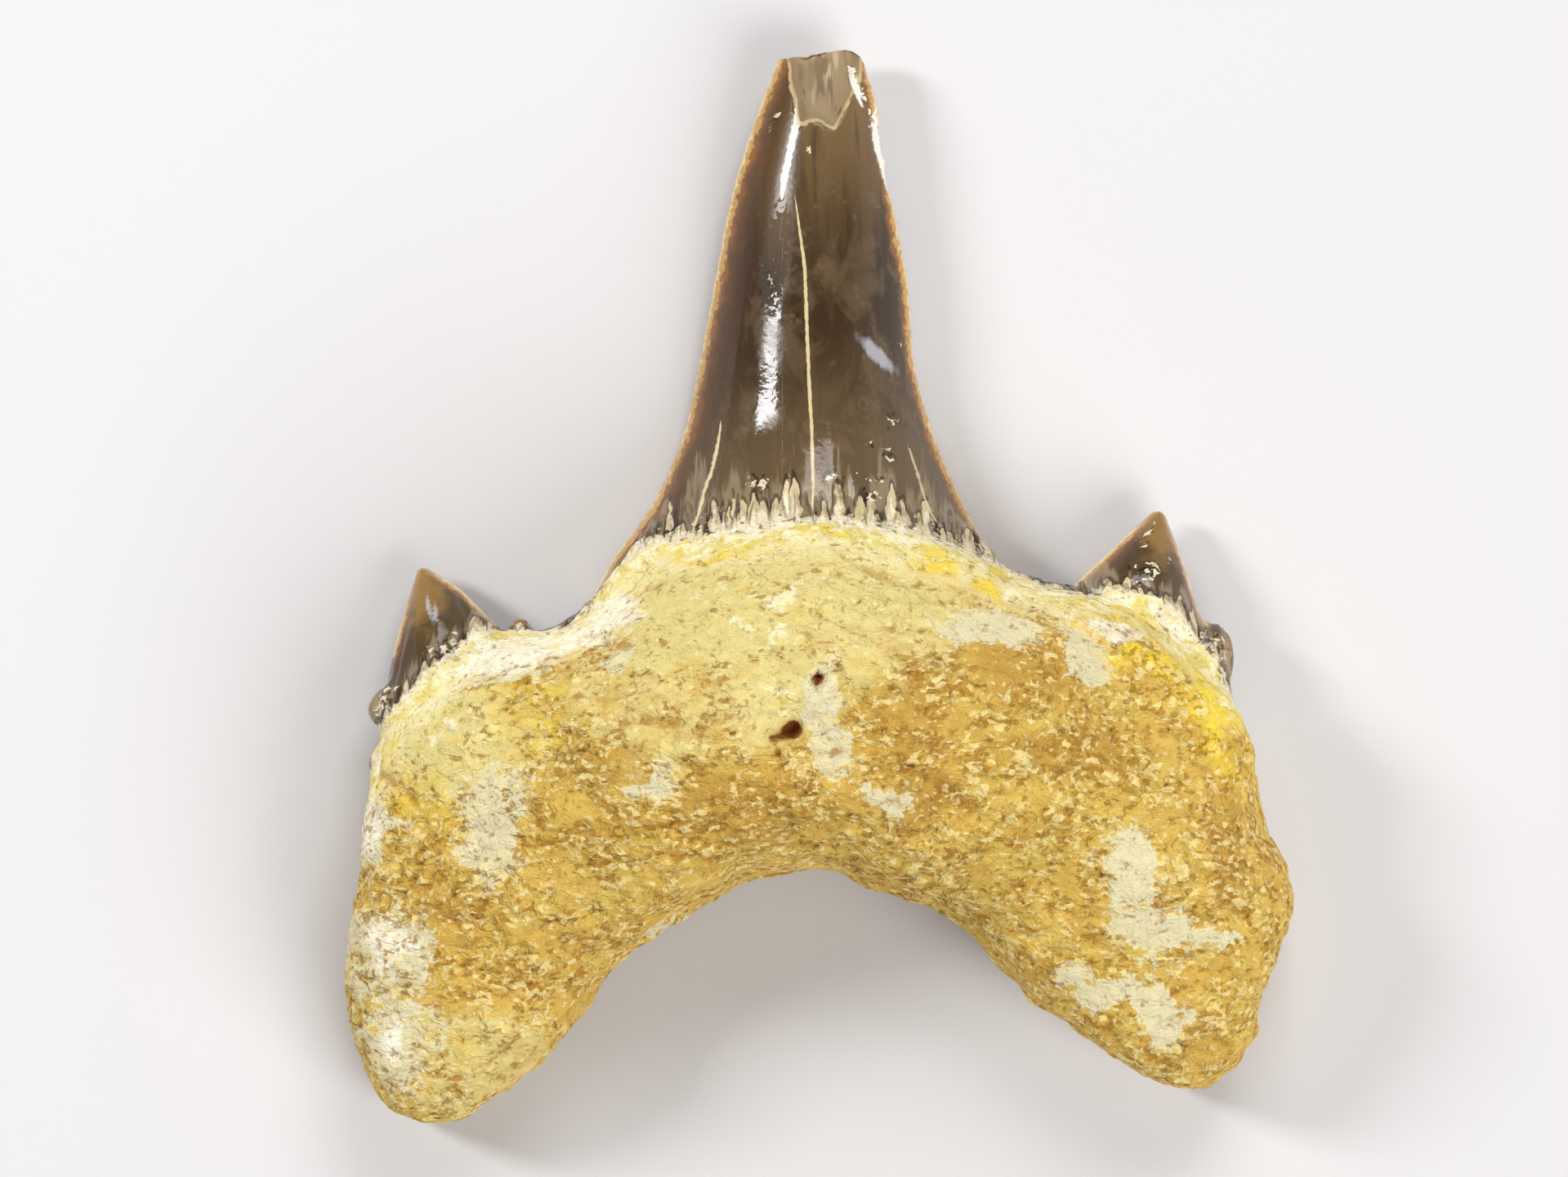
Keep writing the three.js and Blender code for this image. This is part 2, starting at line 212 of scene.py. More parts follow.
LEFT_CUSPLET = small_blade(
    [[-16.5, -5.2], [-16.05, -2.6], [-15.6, -0.9], [-15.1, 0.65]],
    [[-10.4, -3.4], [-12.2, -1.5], [-13.5, -0.2], [-14.85, 0.65]],
    [1.6, 1.4, 1.3, 1.3], [3.4, 2.8, 1.8, 0.5], [0.9, 0.75, 0.55, 0.25],
)
RIGHT_CUSPLET = small_blade(
    [[7.8, -2.8], [9.7, 0.0], [11.1, 1.4], [12.6, 2.75]],
    [[15.7, -4.4], [14.5, -1.5], [13.75, 0.8], [13.0, 2.75]],
    [1.6, 1.4, 1.3, 1.3], [3.6, 3.0, 2.0, 0.6], [0.9, 0.75, 0.55, 0.25],
)
DENTICLES = [
    small_blade(
        [[-14.9, -5.7], [-16.3, -5.6], [-16.75, -5.35], [-17.0, -5.0]],
        [[-14.7, -3.3], [-16.0, -3.7], [-16.6, -4.0], [-16.95, -4.5]],
        [2.6, 2.5, 2.4, 2.3], [1.7, 1.3, 1.0, 0.5], [1.2, 1.0, 0.8, 0.4],
    ),
    small_blade(
        [[-15.4, -7.8], [-16.5, -7.6], [-16.85, -7.2], [-17.0, -6.8]],
        [[-15.2, -5.9], [-16.4, -6.0], [-16.8, -6.1], [-16.95, -6.3]],
        [2.8, 2.7, 2.6, 2.6], [1.3, 1.0, 0.7, 0.4], [1.0, 0.9, 0.7, 0.3],
    ),
    small_blade(
        [[13.7, -1.6], [14.8, -1.4], [15.3, -1.75], [15.6, -2.4]],
        [[13.9, -4.5], [15.0, -4.3], [15.4, -3.8], [15.65, -3.1]],
        [2.5, 2.4, 2.3, 2.3], [2.0, 1.5, 1.1, 0.5], [1.2, 1.0, 0.8, 0.4],
    ),
    small_blade(
        [[-12.1, -3.2], [-12.0, -2.3], [-11.75, -1.7], [-11.4, -1.35]],
        [[-10.2, -3.2], [-10.4, -2.4], [-10.7, -1.8], [-11.0, -1.35]],
        [1.9, 1.8, 1.8, 1.8], [1.6, 1.2, 0.9, 0.3], [0.8, 0.7, 0.6, 0.3],
    ),
]
print("blades:", 4 + len(DENTICLES))


# %% Blade surface
def blade_surface(shape, share, angle):
    """Point of a blade at `share` of its length and `angle` round its section. across = (1 - cos angle) / 2
    goes from the left edge to the right one. The height is the middle line plus rise * |sin angle|^power on
    the lingual face, or minus depth * |sin angle|^power on the labial face."""
    across = (1 - np.cos(angle)) / 2
    left = spline(shape["left"], share)
    right = spline(shape["right"], share)
    x = left[..., 0] + (right - left)[..., 0] * across
    y = left[..., 1] + (right - left)[..., 1] * across
    swell = np.abs(np.sin(angle))
    above = graph(shape["rise"], share) * swell ** shape["powers"][0]
    below = -graph(shape["depth"], share) * swell ** shape["powers"][1]
    z = graph(shape["middle"], share) + np.where(angle <= np.pi, above, below)
    return np.stack([x, y, z], axis=-1)


# %% [markdown]
# A swept grid becomes a closed shell when its first and last rings are capped. The shells overlap, as the
# parts of the tooth do, and a voxel remesh turns them into one skin with nothing inside.


# %% Closed shell from a swept grid
def shell(surface, along, around):
    """Vertices and faces of surface(share, angle) on a grid, with a flat face over each end ring."""
    share = np.linspace(0, 1, along + 1)[:, None] + np.zeros((1, around))
    angle = np.linspace(0, 2 * np.pi, around, endpoint=False)[None, :] + np.zeros((along + 1, 1))
    points = surface(share, angle).reshape(-1, 3)
    ring = np.arange(along)[:, None] * around
    here = np.arange(around)[None, :]
    there = (here + 1) % around
    corners = [ring + here, ring + there, ring + around + there, ring + around + here]
    quads = np.stack(corners, axis=-1).reshape(-1, 4).tolist()
    caps = [list(range(around))[::-1], list(range(along * around, (along + 1) * around))]
    return points, quads + caps


SHELLS = [
    shell(root_surface, 260, 150),
    shell(lambda s, a: blade_surface(CUSP, s, a), 200, 120),
    shell(lambda s, a: blade_surface(FOOT, s, a), 160, 60),
    shell(lambda s, a: blade_surface(LEFT_CUSPLET, s, a), 60, 60),
    shell(lambda s, a: blade_surface(RIGHT_CUSPLET, s, a), 60, 60),
]
for denticle in DENTICLES:
    SHELLS.append(shell(lambda s, a, shape=denticle: blade_surface(shape, s, a), 24, 32))
print("shells:", len(SHELLS), "vertices:", sum(len(points) for points, faces in SHELLS))

# %% Join the shells and remesh them into one skin
VOXEL = 0.172


def object_from(name, points, faces):
    """A mesh object of the given points and faces, linked to the scene."""
    mesh = bpy.data.meshes.new(name)
    mesh.from_pydata(points, [], faces)
    made = bpy.data.objects.new(name, mesh)
    bpy.context.scene.collection.objects.link(made)
    return made


starts = np.cumsum([0] + [len(points) for points, faces in SHELLS[:-1]])
all_points = np.concatenate([points for points, faces in SHELLS])
all_faces = []
for start, (_, faces) in zip(starts.tolist(), SHELLS):
    all_faces += [[corner + start for corner in face] for face in faces]
tooth = object_from("fossil_tooth", all_points.tolist(), all_faces)
remesh = tooth.modifiers.new("one skin", "REMESH")
remesh.mode = "VOXEL"
remesh.voxel_size = VOXEL
remesh.use_smooth_shade = True
skin = bpy.data.meshes.new_from_object(tooth.evaluated_get(bpy.context.evaluated_depsgraph_get()))
tooth.modifiers.clear()
rough_mesh = tooth.data
tooth.data = skin
bpy.data.meshes.remove(rough_mesh)
print("skin: vertices", len(skin.vertices), "faces", len(skin.polygons))

# %% [markdown]
# A voxel skin has slight ripples, and the places where two shells met are sharp. The arrays below hold its
# points and edges, so that smoothing and displacement can work on the whole skin at once.

# %% Skin arrays
points = np.empty(len(skin.vertices) * 3)
skin.vertices.foreach_get("co", points)
points = points.reshape(-1, 3)
edges = np.empty(len(skin.edges) * 2, int)
skin.edges.foreach_get("vertices", edges)
edges = edges.reshape(-1, 2)
quads = np.empty(len(skin.polygons) * 4, int)
skin.polygons.foreach_get("vertices", quads)
quads = quads.reshape(-1, 4)
edge_lengths = np.linalg.norm(points[edges[:, 0]] - points[edges[:, 1]], axis=1)
print("longest edge, mm:", round(float(edge_lengths.max()), 2))


def gather(index, values):
    """Sum of values (one row per entry) for each point that `index` names."""
    columns = [np.bincount(index, values[:, k], len(points)) for k in range(values.shape[1])]
    return np.stack(columns, axis=-1)


NEIGHBOURS = np.bincount(edges.ravel(), minlength=len(points))[:, None]


def neighbour_mean(values):
    """Mean of the values at the points joined to each point by an edge."""
    total = gather(edges[:, 0], values[edges[:, 1]]) + gather(edges[:, 1], values[edges[:, 0]])
    return total / NEIGHBOURS


def normals_of(at):
    """Unit normal at each point: the sum of the cross products of its faces' diagonals."""
    crosses = np.cross(at[quads[:, 2]] - at[quads[:, 0]], at[quads[:, 3]] - at[quads[:, 1]])
    total = sum(gather(quads[:, k], crosses) for k in range(4))
    return total / np.linalg.norm(total, axis=1, keepdims=True)


# %% [markdown]
# ## Where the enamel ends
# On the real tooth the enamel stops at the neck. The border is drawn as seen from the lingual side, and
# again as seen from the labial side. Each point then gets its signed distance from the border, in
# millimetres: above zero on the enamel, below zero on the bone.

# %% Distances to lines
LINGUAL_NECK = [
    [-19.0, -8.0], [-16.6, -7.0], [-16.7, -6.1], [-16.5, -5.5], [-15.7, -4.5], [-15.1, -3.9],
    [-14.6, -3.2], [-13.9, -2.8], [-13.3, -2.3], [-12.9, -1.8], [-12.2, -1.75], [-10.8, -1.8],
    [-9.5, -1.7], [-8.6, -0.9], [-7.9, 0.3], [-6.5, 1.4], [-4.7, 1.7], [-2.2, 2.0], [0.0, 2.3],
    [2.4, 2.0], [3.9, 1.7], [5.7, 1.05], [7.1, 0.5], [8.2, -0.15], [9.0, -0.25], [10.0, -0.5],
    [10.8, -0.25], [12.2, -0.45], [12.8, -0.65], [13.3, -1.05], [13.8, -1.65], [14.1, -2.1],
    [14.5, -2.5], [15.0, -3.3], [15.4, -4.2], [19.0, -5.0],
]
LABIAL_NECK = [
    [-19.0, -8.0], [-16.4, -7.2], [-15.9, -5.7], [-14.4, -5.3], [-11.6, -4.0], [-7.2, -2.3],
    [-2.4, -0.8], [2.4, -0.7], [7.0, -1.9], [10.6, -3.2], [13.2, -4.4], [14.9, -5.2], [19.0, -5.0],
]
LABIAL_UP_TO, LINGUAL_FROM = 1.1, 2.3


def path_distance(at, path):
    """Distance in the XY plane from each point to the nearest stretch of a path."""
    path = np.asarray(path, float)
    nearest = np.full(len(at), np.inf)
    for start, end in zip(path[:-1], path[1:]):
        along = np.clip((at[:, :2] - start) @ (end - start) / ((end - start) @ (end - start)), 0, 1)
        foot = start + along[:, None] * (end - start)
        nearest = np.minimum(nearest, np.linalg.norm(at[:, :2] - foot, axis=1))
    return nearest


def above_path(at, path):
    """Signed distance to a path that runs from left to right: positive on its upper side. A point is on
    the upper side when a line straight down from it crosses the path an odd number of times."""
    path = np.asarray(path, float)
    crossings = np.zeros(len(at), int)
    for (x0, y0), (x1, y1) in zip(path[:-1], path[1:]):
        spans = (at[:, 0] >= min(x0, x1)) & (at[:, 0] < max(x0, x1))
        slope = (y1 - y0) / (x1 - x0) if x1 != x0 else 0
        crossings += spans & (at[:, 1] > y0 + (at[:, 0] - x0) * slope)
    return path_distance(at, path) * np.where(crossings % 2 == 1, 1, -1)


def enamel_distance(at):
    """Signed distance from the enamel's border: the labial one low down, the lingual one higher up."""
    lingual = smooth_step(LABIAL_UP_TO, LINGUAL_FROM, at[:, 2])
    return above_path(at, LABIAL_NECK) * (1 - lingual) + above_path(at, LINGUAL_NECK) * lingual


enamel = enamel_distance(points)
print("enamel share of the skin:", round(float(np.mean(enamel > 0)), 3))

# %% Smooth the skin, and round the neck more
SMOOTHING_ROUNDS = 8
NECK_ROUNDS = 40
NECK_REACH = 0.9
PULL, PUSH_BACK = 0.5, 0.52
for step in range(SMOOTHING_ROUNDS):
    points = points + PULL * (neighbour_mean(points) - points)
    points = points - PUSH_BACK * (neighbour_mean(points) - points)
for step in range(NECK_ROUNDS):
    near_neck = np.exp(-((enamel / NECK_REACH) ** 2))[:, None] * smooth_step(1.5, 3.0, points[:, 2:])
    points = points + PULL * near_neck * (neighbour_mean(points) - points)
enamel = enamel_distance(points)
print("enamel share after smoothing:", round(float(np.mean(enamel > 0)), 3))

# %% [markdown]
# Enamel is so smooth that any ripple shows as a bent reflection. So the cusp's points go back to the exact
# surface: for each one the share of the cusp's length and the place across it are found by a few Newton
# steps, and the height comes straight from the formula.


# %% Exact cusp
def cusp_place(at):
    """Share of the cusp's length and place across it (0 left edge, 1 right edge) of points seen from
    above. Each step moves the share by the error in y over the slope of y."""
    share = np.clip((at[:, 1] + 2) / (TIP_Y + 2), 0, 1)
    for step in range(6):
        left, right = spline(CUSP["left"], share), spline(CUSP["right"], share)
        across = np.clip((at[:, 0] - left[:, 0]) / (right[:, 0] - left[:, 0]), 0, 1)
        y = left[:, 1] + (right[:, 1] - left[:, 1]) * across
        further = np.clip(share + 0.01, 0, 1)
        left, right = spline(CUSP["left"], further), spline(CUSP["right"], further)
        slope = (left[:, 1] + (right[:, 1] - left[:, 1]) * across - y) / np.maximum(further - share, 1e-6)
        share = np.clip(share + (at[:, 1] - y) / np.maximum(slope, 1.0), 0, 1)
    return share, across


cusp_share, cusp_across = cusp_place(points)
section = np.arccos(np.clip(1 - 2 * cusp_across, -1, 1))
lingual_z = blade_surface(CUSP, cusp_share, section)[:, 2]
labial_z = np.maximum(blade_surface(CUSP, cusp_share, 2 * np.pi - section)[:, 2], 0)
is_upper = normals_of(points)[:, 2] > 0
exact_z = np.where(is_upper, lingual_z, labial_z)
CUSP_FROM_X, CUSP_TO_X = -8, 7.2
on_cusp = (points[:, 0] > CUSP_FROM_X) & (points[:, 0] < CUSP_TO_X)
inside_edges = np.minimum(path_distance(points, CUSP["left"]), path_distance(points, CUSP["right"]))
trust = smooth_step(0.25, 0.8, inside_edges) * smooth_step(0.7, 2.2, enamel) * on_cusp
trust = trust * (1 - smooth_step(TIP_Y - 0.8, TIP_Y - 0.4, points[:, 1]))
points[:, 2] += trust * (exact_z - points[:, 2])
print("cusp points put back:", int(np.sum(trust > 0.5)))

# %% [markdown]
# ## Noise for whole arrays
# Weathered bone has lumps, flakes and pits of every size. Two kinds of noise give them: smooth noise
# between random values on a grid, and cells round scattered points.


# %% Noise
def random_cell(cells, seed):
    """A random number from 0 to 1 for each whole-numbered cell, by multiplying and mixing its indices."""
    c = cells.astype(np.int64).astype(np.uint32)
    mixed = c[..., 0] * np.uint32(73856093) ^ c[..., 1] * np.uint32(19349663)
    mixed = mixed ^ c[..., 2] * np.uint32(83492791) ^ np.uint32(seed * 7919 + 17)
    mixed = (mixed ^ (mixed >> np.uint32(15))) * np.uint32(2246822519)
    mixed = (mixed ^ (mixed >> np.uint32(13))) * np.uint32(3266489917)
    return (mixed ^ (mixed >> np.uint32(16))) / 2.0**32


CORNERS = np.array([[i, j, k] for i in (0, 1) for j in (0, 1) for k in (0, 1)])


def smooth_noise(at, size, seed):
    """Noise from -1 to 1 with lumps of `size` mm: random values at the corners of a grid, blended by
    3t^2 - 2t^3 along each axis."""
    place = at / size
    cell = np.floor(place)
    t = place - cell
    t = t * t * (3 - 2 * t)
    total = 0
    for corner in CORNERS:
        weight = np.prod(np.where(corner == 1, t, 1 - t), axis=1)
        total = total + weight * random_cell(cell + corner, seed)
    return total * 2 - 1


def layered_noise(at, size, layers, seed):
    """Sum of noises, each half the size and half the height of the one before."""
    return sum(smooth_noise(at, size / 2**k, seed + k) / 2**k for k in range(layers))


def cell_noise(at, size, seed):
    """Distance in mm to the nearest of the points scattered one to a cell of `size` mm, and that point's
    random number."""
    place = at / size
    cell = np.floor(place)
    nearest = np.full(len(at), np.inf)
    chosen = np.zeros(len(at))
    for step in np.ndindex(3, 3, 3):
        other = cell + (np.array(step) - 1)
        spot = other + np.stack([random_cell(other, seed + k) for k in range(3)], axis=-1)
        far = np.linalg.norm(place - spot, axis=1)
        closer = far < nearest
        nearest = np.where(closer, far, nearest)
        chosen = np.where(closer, random_cell(other, seed + 3), chosen)
    return nearest * size, chosen


# %% [markdown]
# ## Patches of colour and wear
# The root isn't one colour. Grey-white patches of bare smooth bone, bright yellow stains, deep ochre and
# cream areas each have a place. Every patch is an ellipse with a name, and its ragged edge comes later from
# noise. The number at a point is 1 in the middle of a patch, 0 on its edge and below 0 outside.

# %% Patches: x, y, half width, half height, turn in degrees
PALE_PATCHES = {
    "left lobe upper": (-16.0, -13.6, 1.7, 1.9, 0),
    "left lobe lower": (-15.7, -17.0, 1.5, 1.8, 15),
    "left lobe edge": (-16.7, -9.0, 0.8, 1.5, 0),
    "left middle": (-12.2, -8.7, 1.4, 1.9, -10),
    "right lobe top": (11.3, -10.3, 1.2, 1.2, 0),
    "right lobe middle": (12.1, -12.5, 1.8, 1.1, -40),
    "right lobe bar": (14.1, -13.0, 1.2, 0.45, 10),
    "right lobe foot": (10.7, -14.7, 1.6, 0.55, 5),
    "right lobe tail": (12.9, -16.0, 1.0, 1.4, 20),
    "right shoulder": (6.3, -1.5, 2.0, 0.85, -12),
    "beside the foramina": (0.25, -5.0, 0.8, 1.9, 5),
    "right gutter": (9.9, -3.0, 0.8, 1.35, 20),
    "left heel": (-8.2, -1.9, 1.4, 0.7, 10),
    "left strip": (-11.4, -2.9, 3.4, 0.8, 18),
    "left of middle": (-6.2, -7.2, 0.5, 0.8, 0),
    "arch left": (-5.6, -13.0, 0.8, 0.3, 30),
    "middle low": (2.4, -7.7, 0.8, 0.5, 0),
}
YELLOW_PATCHES = {
    "left shoulder": (-10.6, -5.0, 1.7, 1.3, -30),
    "right shoulder": (12.2, -2.7, 2.1, 1.2, -25),
    "right side": (14.3, -4.8, 1.4, 3.1, 33),
    "neck middle": (0.6, 1.75, 1.7, 0.4, 0),
    "neck right": (4.3, 0.95, 1.3, 0.42, -14),
    "neck far right": (6.6, 0.2, 0.8, 0.3, -30),
    "right cusplet foot": (10.3, -0.85, 1.5, 0.35, -10),
    "left lobe top": (-14.6, -7.4, 1.7, 1.0, -20),
    "neck left": (-4.2, 1.0, 2.2, 0.3, 12),
}
OCHRE_PATCHES = {
    "right of the foramina": (3.3, -4.2, 2.4, 2.2, 0),
    "right bulge": (7.9, -3.0, 2.5, 1.6, -15),
    "below the bulge": (9.5, -6.4, 3.0, 1.2, -8),
    "left lobe": (-13.5, -11.8, 2.0, 0.9, 0),
    "right lobe outside": (15.2, -9.5, 1.1, 2.2, 5),
    "middle": (-3.0, -8.2, 4.5, 1.3, 3),
    "middle right": (3.6, -7.6, 1.6, 1.1, 0),
    "left of the groove": (-8.6, -6.2, 2.0, 1.1, -20),
}
CREAM_PATCHES = {
    "top": (-1.6, -0.6, 8.2, 2.7, 2),
    "left top": (-13.8, -5.4, 2.6, 1.9, -30),
    "right top": (11.9, -1.1, 2.6, 0.8, -14),
    "groove": (-1.4, -4.0, 2.4, 1.8, 20),
}
SOFT_CREAM_PATCHES = {
    "left of the groove": (-6.2, -4.4, 3.6, 1.8, 0),
    "under the left strip": (-12.5, -5.5, 2.6, 1.6, -20),
    "left lobe foot": (-13.0, -17.5, 2.4, 1.6, 20),
}
CHALK_PATCHES = {
    "left strip": (-11.2, -2.45, 3.9, 0.75, 14),
    "left heel": (-8.0, -1.4, 1.4, 0.7, 15),
    "left lobe upper": (-16.0, -13.6, 0.9, 1.0, 0),
    "left lobe lower": (-15.8, -17.0, 0.6, 0.8, 15),
    "left lobe edge": (-16.7, -9.0, 0.5, 1.1, 0),
    "right cusplet rim": (13.0, -1.2, 1.3, 0.4, -40),
    "right gutter top": (10.8, -1.7, 1.0, 0.45, -10),
}


# %% Patches as numbers
def patch_map(at, patches, wander=0.0):
    """1 - (distance from the middle, measured in the ellipse's own half sizes), for the nearest patch. The
    points first wander by noise, so that the outline isn't an ellipse any more."""
    wide = np.stack([smooth_noise(at, 1.5, seed) for seed in (14, 15, 16)], axis=-1)
    fine = np.stack([smooth_noise(at, 0.55, seed) for seed in (17, 18, 19)], axis=-1)
    at = at + wander * (wide + 0.5 * fine)
    best = np.full(len(at), -9.0)
    for x, y, half_width, half_height, degrees in patches.values():
        turn = np.radians(degrees)
        dx, dy = at[:, 0] - x, at[:, 1] - y
        u = (dx * np.cos(turn) + dy * np.sin(turn)) / half_width
        v = (dy * np.cos(turn) - dx * np.sin(turn)) / half_height
        best = np.maximum(best, 1 - np.hypot(u, v))
    return best


def lingual_only(at, values):
    """Patches belong to the lingual face, so low on the sides their numbers sink."""
    return values - 2 * (1 - smooth_step(1.6, 3.4, at[:, 2]))


# %% Stains of the root
# They wander far from their ellipses, and the chalk less. Soft cream never covers fully, and neither does
# the yellow on the left side of the root.
STAIN_WANDER, CHALK_WANDER = 0.75, 0.4
SOFT_CREAM_CAP, LEFT_YELLOW_CAP = 0.05, 0.12
soft_cream = np.minimum(patch_map(points, SOFT_CREAM_PATCHES, STAIN_WANDER), SOFT_CREAM_CAP)
cream = lingual_only(points, np.maximum(patch_map(points, CREAM_PATCHES, STAIN_WANDER), soft_cream))
chalk = lingual_only(points, patch_map(points, CHALK_PATCHES, CHALK_WANDER))
pale, yellow, ochre = (
    lingual_only(points, patch_map(points, patches, STAIN_WANDER))
    for patches in (PALE_PATCHES, YELLOW_PATCHES, OCHRE_PATCHES)
)
on_left_side = (points[:, 0] < 0) & (points[:, 1] < -3)
yellow = np.where(on_left_side, np.minimum(yellow, LEFT_YELLOW_CAP), yellow)
print("share of the skin that is pale bone:", round(float(np.mean(pale > 0)), 3))

# %% [markdown]
# ## Relief of the bone
# Weathered root bone flakes off in thin overlapping ledges that follow the bow of the root, and it is full
# of small pits. A ledge is a slow rise and a quick drop, repeated with noise in its spacing. Pits are the
# cells whose random number is low. All of it is real displacement along the normals.

# %% Bone relief
bone = 1 - smooth_step(-0.35, 0.1, enamel)
LEDGE_SPACING = 0.85
LEDGE_HEIGHT = 0.17
LEDGE_RISE = 0.68
LUMP_HEIGHT, LUMP_SIZE = 0.24, 2.8
GRAINS = ((0.09, 0.62, 51), (0.07, 0.38, 52))
PIT_SIZE = 0.75
PIT_RADIUS = 0.22
PIT_DEPTH = 0.16
PITTED_SHARE = 0.3
LEFT_CALM = 0.25
BOW = 0.018
WARP, WARP_SIZE = 0.5, 1.7
LEDGE_WANDER, LEDGE_WANDER_SIZE = 1.1, 2.3

warp = np.stack([smooth_noise(points, WARP_SIZE, seed) for seed in (11, 12, 13)], axis=-1)
warped = points + WARP * warp
bowed = warped[:, 1] + BOW * warped[:, 0] ** 2
ledge_place = bowed / LEDGE_SPACING + LEDGE_WANDER * smooth_noise(points, LEDGE_WANDER_SIZE, 21)
ledge = ledge_place - np.floor(ledge_place)
ledge = np.where(ledge < LEDGE_RISE, ledge / LEDGE_RISE, (1 - ledge) / (1 - LEDGE_RISE)) - 0.5
ledge_strength = smooth_step(-0.35, 0.5, smooth_noise(points * [0.6, 1, 1], 1.3, 31))
calm_share = LEFT_CALM + (1 - LEFT_CALM) * smooth_step(2, 6, points[:, 0])
smooth_bone = smooth_step(-0.1, 0.35, pale) * calm_share
smooth_bone = np.maximum(smooth_bone, smooth_step(-0.2, 0.3, cream) * 0.5)
smooth_bone = np.maximum(smooth_bone, smooth_step(-1.8, -0.3, enamel) * 0.9)
rough_share = 1 - 0.75 * smooth_bone
lumps = LUMP_HEIGHT * layered_noise(points, LUMP_SIZE, 2, 41)
grains = sum(height * smooth_noise(points, size, seed) for height, size, seed in GRAINS)
pit_far, pit_kind = cell_noise(points, PIT_SIZE, 61)
pits = PIT_DEPTH * (1 - smooth_step(0.3, 1.0, pit_far / PIT_RADIUS)) * (pit_kind < PITTED_SHARE)
relief = rough_share * (LEDGE_HEIGHT * ledge * ledge_strength + grains - pits)

# %% Creases of the root
CREASES = {
    "under the neck": ([[-6.8, -0.15], [-3.4, 0.15], [0.0, 0.42], [3.0, 0.45], [6.0, 0.28]], 0.05),
    "left shoulder": ([[-16.0, -6.7], [-15.75, -7.5], [-15.1, -8.3]], 0.16),
    "right side nick": ([[17.3, -7.9], [16.9, -8.7], [17.0, -9.5]], 0.3),
    "left ledge": ([[-8.7, -2.0], [-7.9, -2.1], [-7.0, -2.3]], 0.14),
    "middle ledge": ([[-7.8, -5.1], [-6.6, -5.2], [-5.4, -5.3]], 0.16),
    "low ledge left": ([[-5.2, -9.3], [-3.4, -8.9], [-1.6, -8.7]], 0.14),
    "low ledge right": ([[1.8, -7.0], [3.4, -7.1], [5.4, -8.2]], 0.12),
}
CREASE_HALF_WIDTH = 0.2
for path, depth in CREASES.values():
    relief -= depth * np.exp(-((path_distance(warped, path) / CREASE_HALF_WIDTH) ** 2))
bone_shift = bone * (lumps + relief)
print("bone relief, mm:", np.round([bone_shift.min(), bone_shift.max()], 3))

# %% Nutrient foramina and the groove that runs out of the larger one
FORAMINA = {
    "large": (-1.0, -5.3, 0.5, 0.65),
    "small": (-0.08, -3.55, 0.33, 0.5),
    "pit below": (-1.5, -6.15, 0.3, 0.22),
}
FORAMEN_RAGGEDNESS = 0.32
GROOVE = [[-1.1, -5.4], [-1.4, -5.6], [-1.75, -5.65]]
GROOVE_DEPTH = 0.4
opening = np.zeros(len(points))
for x, y, radius, depth in FORAMINA.values():
    ragged = radius * (1 + FORAMEN_RAGGEDNESS * smooth_noise(points, 0.5, 71))
    far = np.hypot(points[:, 0] - x, points[:, 1] - y) / ragged
    opening = np.maximum(opening, depth * (1 - smooth_step(0.45, 1.05, far)))
groove_far = path_distance(points, GROOVE)
opening = np.maximum(opening, GROOVE_DEPTH * (1 - smooth_step(0.05, 0.28, groove_far)))
opening = opening * smooth_step(6, 8, points[:, 2])
print("deepest opening, mm:", round(float(opening.max()), 2))

# %% [markdown]
# ## Relief of the crown
# Close to the neck the enamel has short upright folds. The tip is broken: a flake came off the lingual
# side and left a sloping scar, and small chips are missing along the right cutting edge.

# %% Crown relief
FOLD_SPACING = 0.82
FOLD_HEIGHT = 0.035
FOLD_WANDER = 0.7
SWELL_HEIGHT = 0.012
crown = smooth_step(-0.2, 0.4, enamel)
fold_fade = smooth_step(0.0, 0.4, enamel) * (1 - smooth_step(1.0, 3.2, enamel)) * is_upper
fold_bend = FOLD_WANDER * smooth_noise(points * [1, 0.3, 1], 1.2, 81)
fold_wave = np.sin(2 * np.pi * (points[:, 0] / FOLD_SPACING + fold_bend))
folds = FOLD_HEIGHT * fold_wave * fold_fade
swells = SWELL_HEIGHT * smooth_noise(points * [1, 0.25, 1], 0.9, 82)

# %% Scar of the flake that broke off the tip
SCAR = [
    [-1.15, 20.6], [-1.09, 19.5], [-0.93, 18.5], [-0.69, 17.3], [-0.08, 17.4], [0.54, 17.1],
    [0.93, 17.9], [1.39, 18.8], [1.52, 19.3], [1.5, 20.6], [-1.15, 20.6],
]
SCAR_SLOPE = 0.44
SCAR_FROM = (17.3, 3.15)
SCAR_LOWEST = 1.9
SCAR_WAVES, SCAR_GRAIN = 0.12, 0.06
SCAR_RAGGEDNESS = 0.07

# For a closed loop the odd number of crossings means that a point is inside.
scar = above_path(points, SCAR) + SCAR_RAGGEDNESS * smooth_noise(points, 0.35, 91)
scar_floor = SCAR_FROM[1] - SCAR_SLOPE * (points[:, 1] - SCAR_FROM[0])
scar_floor = scar_floor + SCAR_WAVES * smooth_noise(points * [1, 0.5, 1], 0.7, 92)
scar_floor = scar_floor + SCAR_GRAIN * smooth_noise(points, 0.3, 93)
scar_floor = np.maximum(scar_floor, SCAR_LOWEST)
scar_drop = np.maximum(points[:, 2] - scar_floor, 0) * smooth_step(-0.08, 0.14, scar)
print("deepest place of the scar, mm:", round(float(scar_drop.max()), 2))

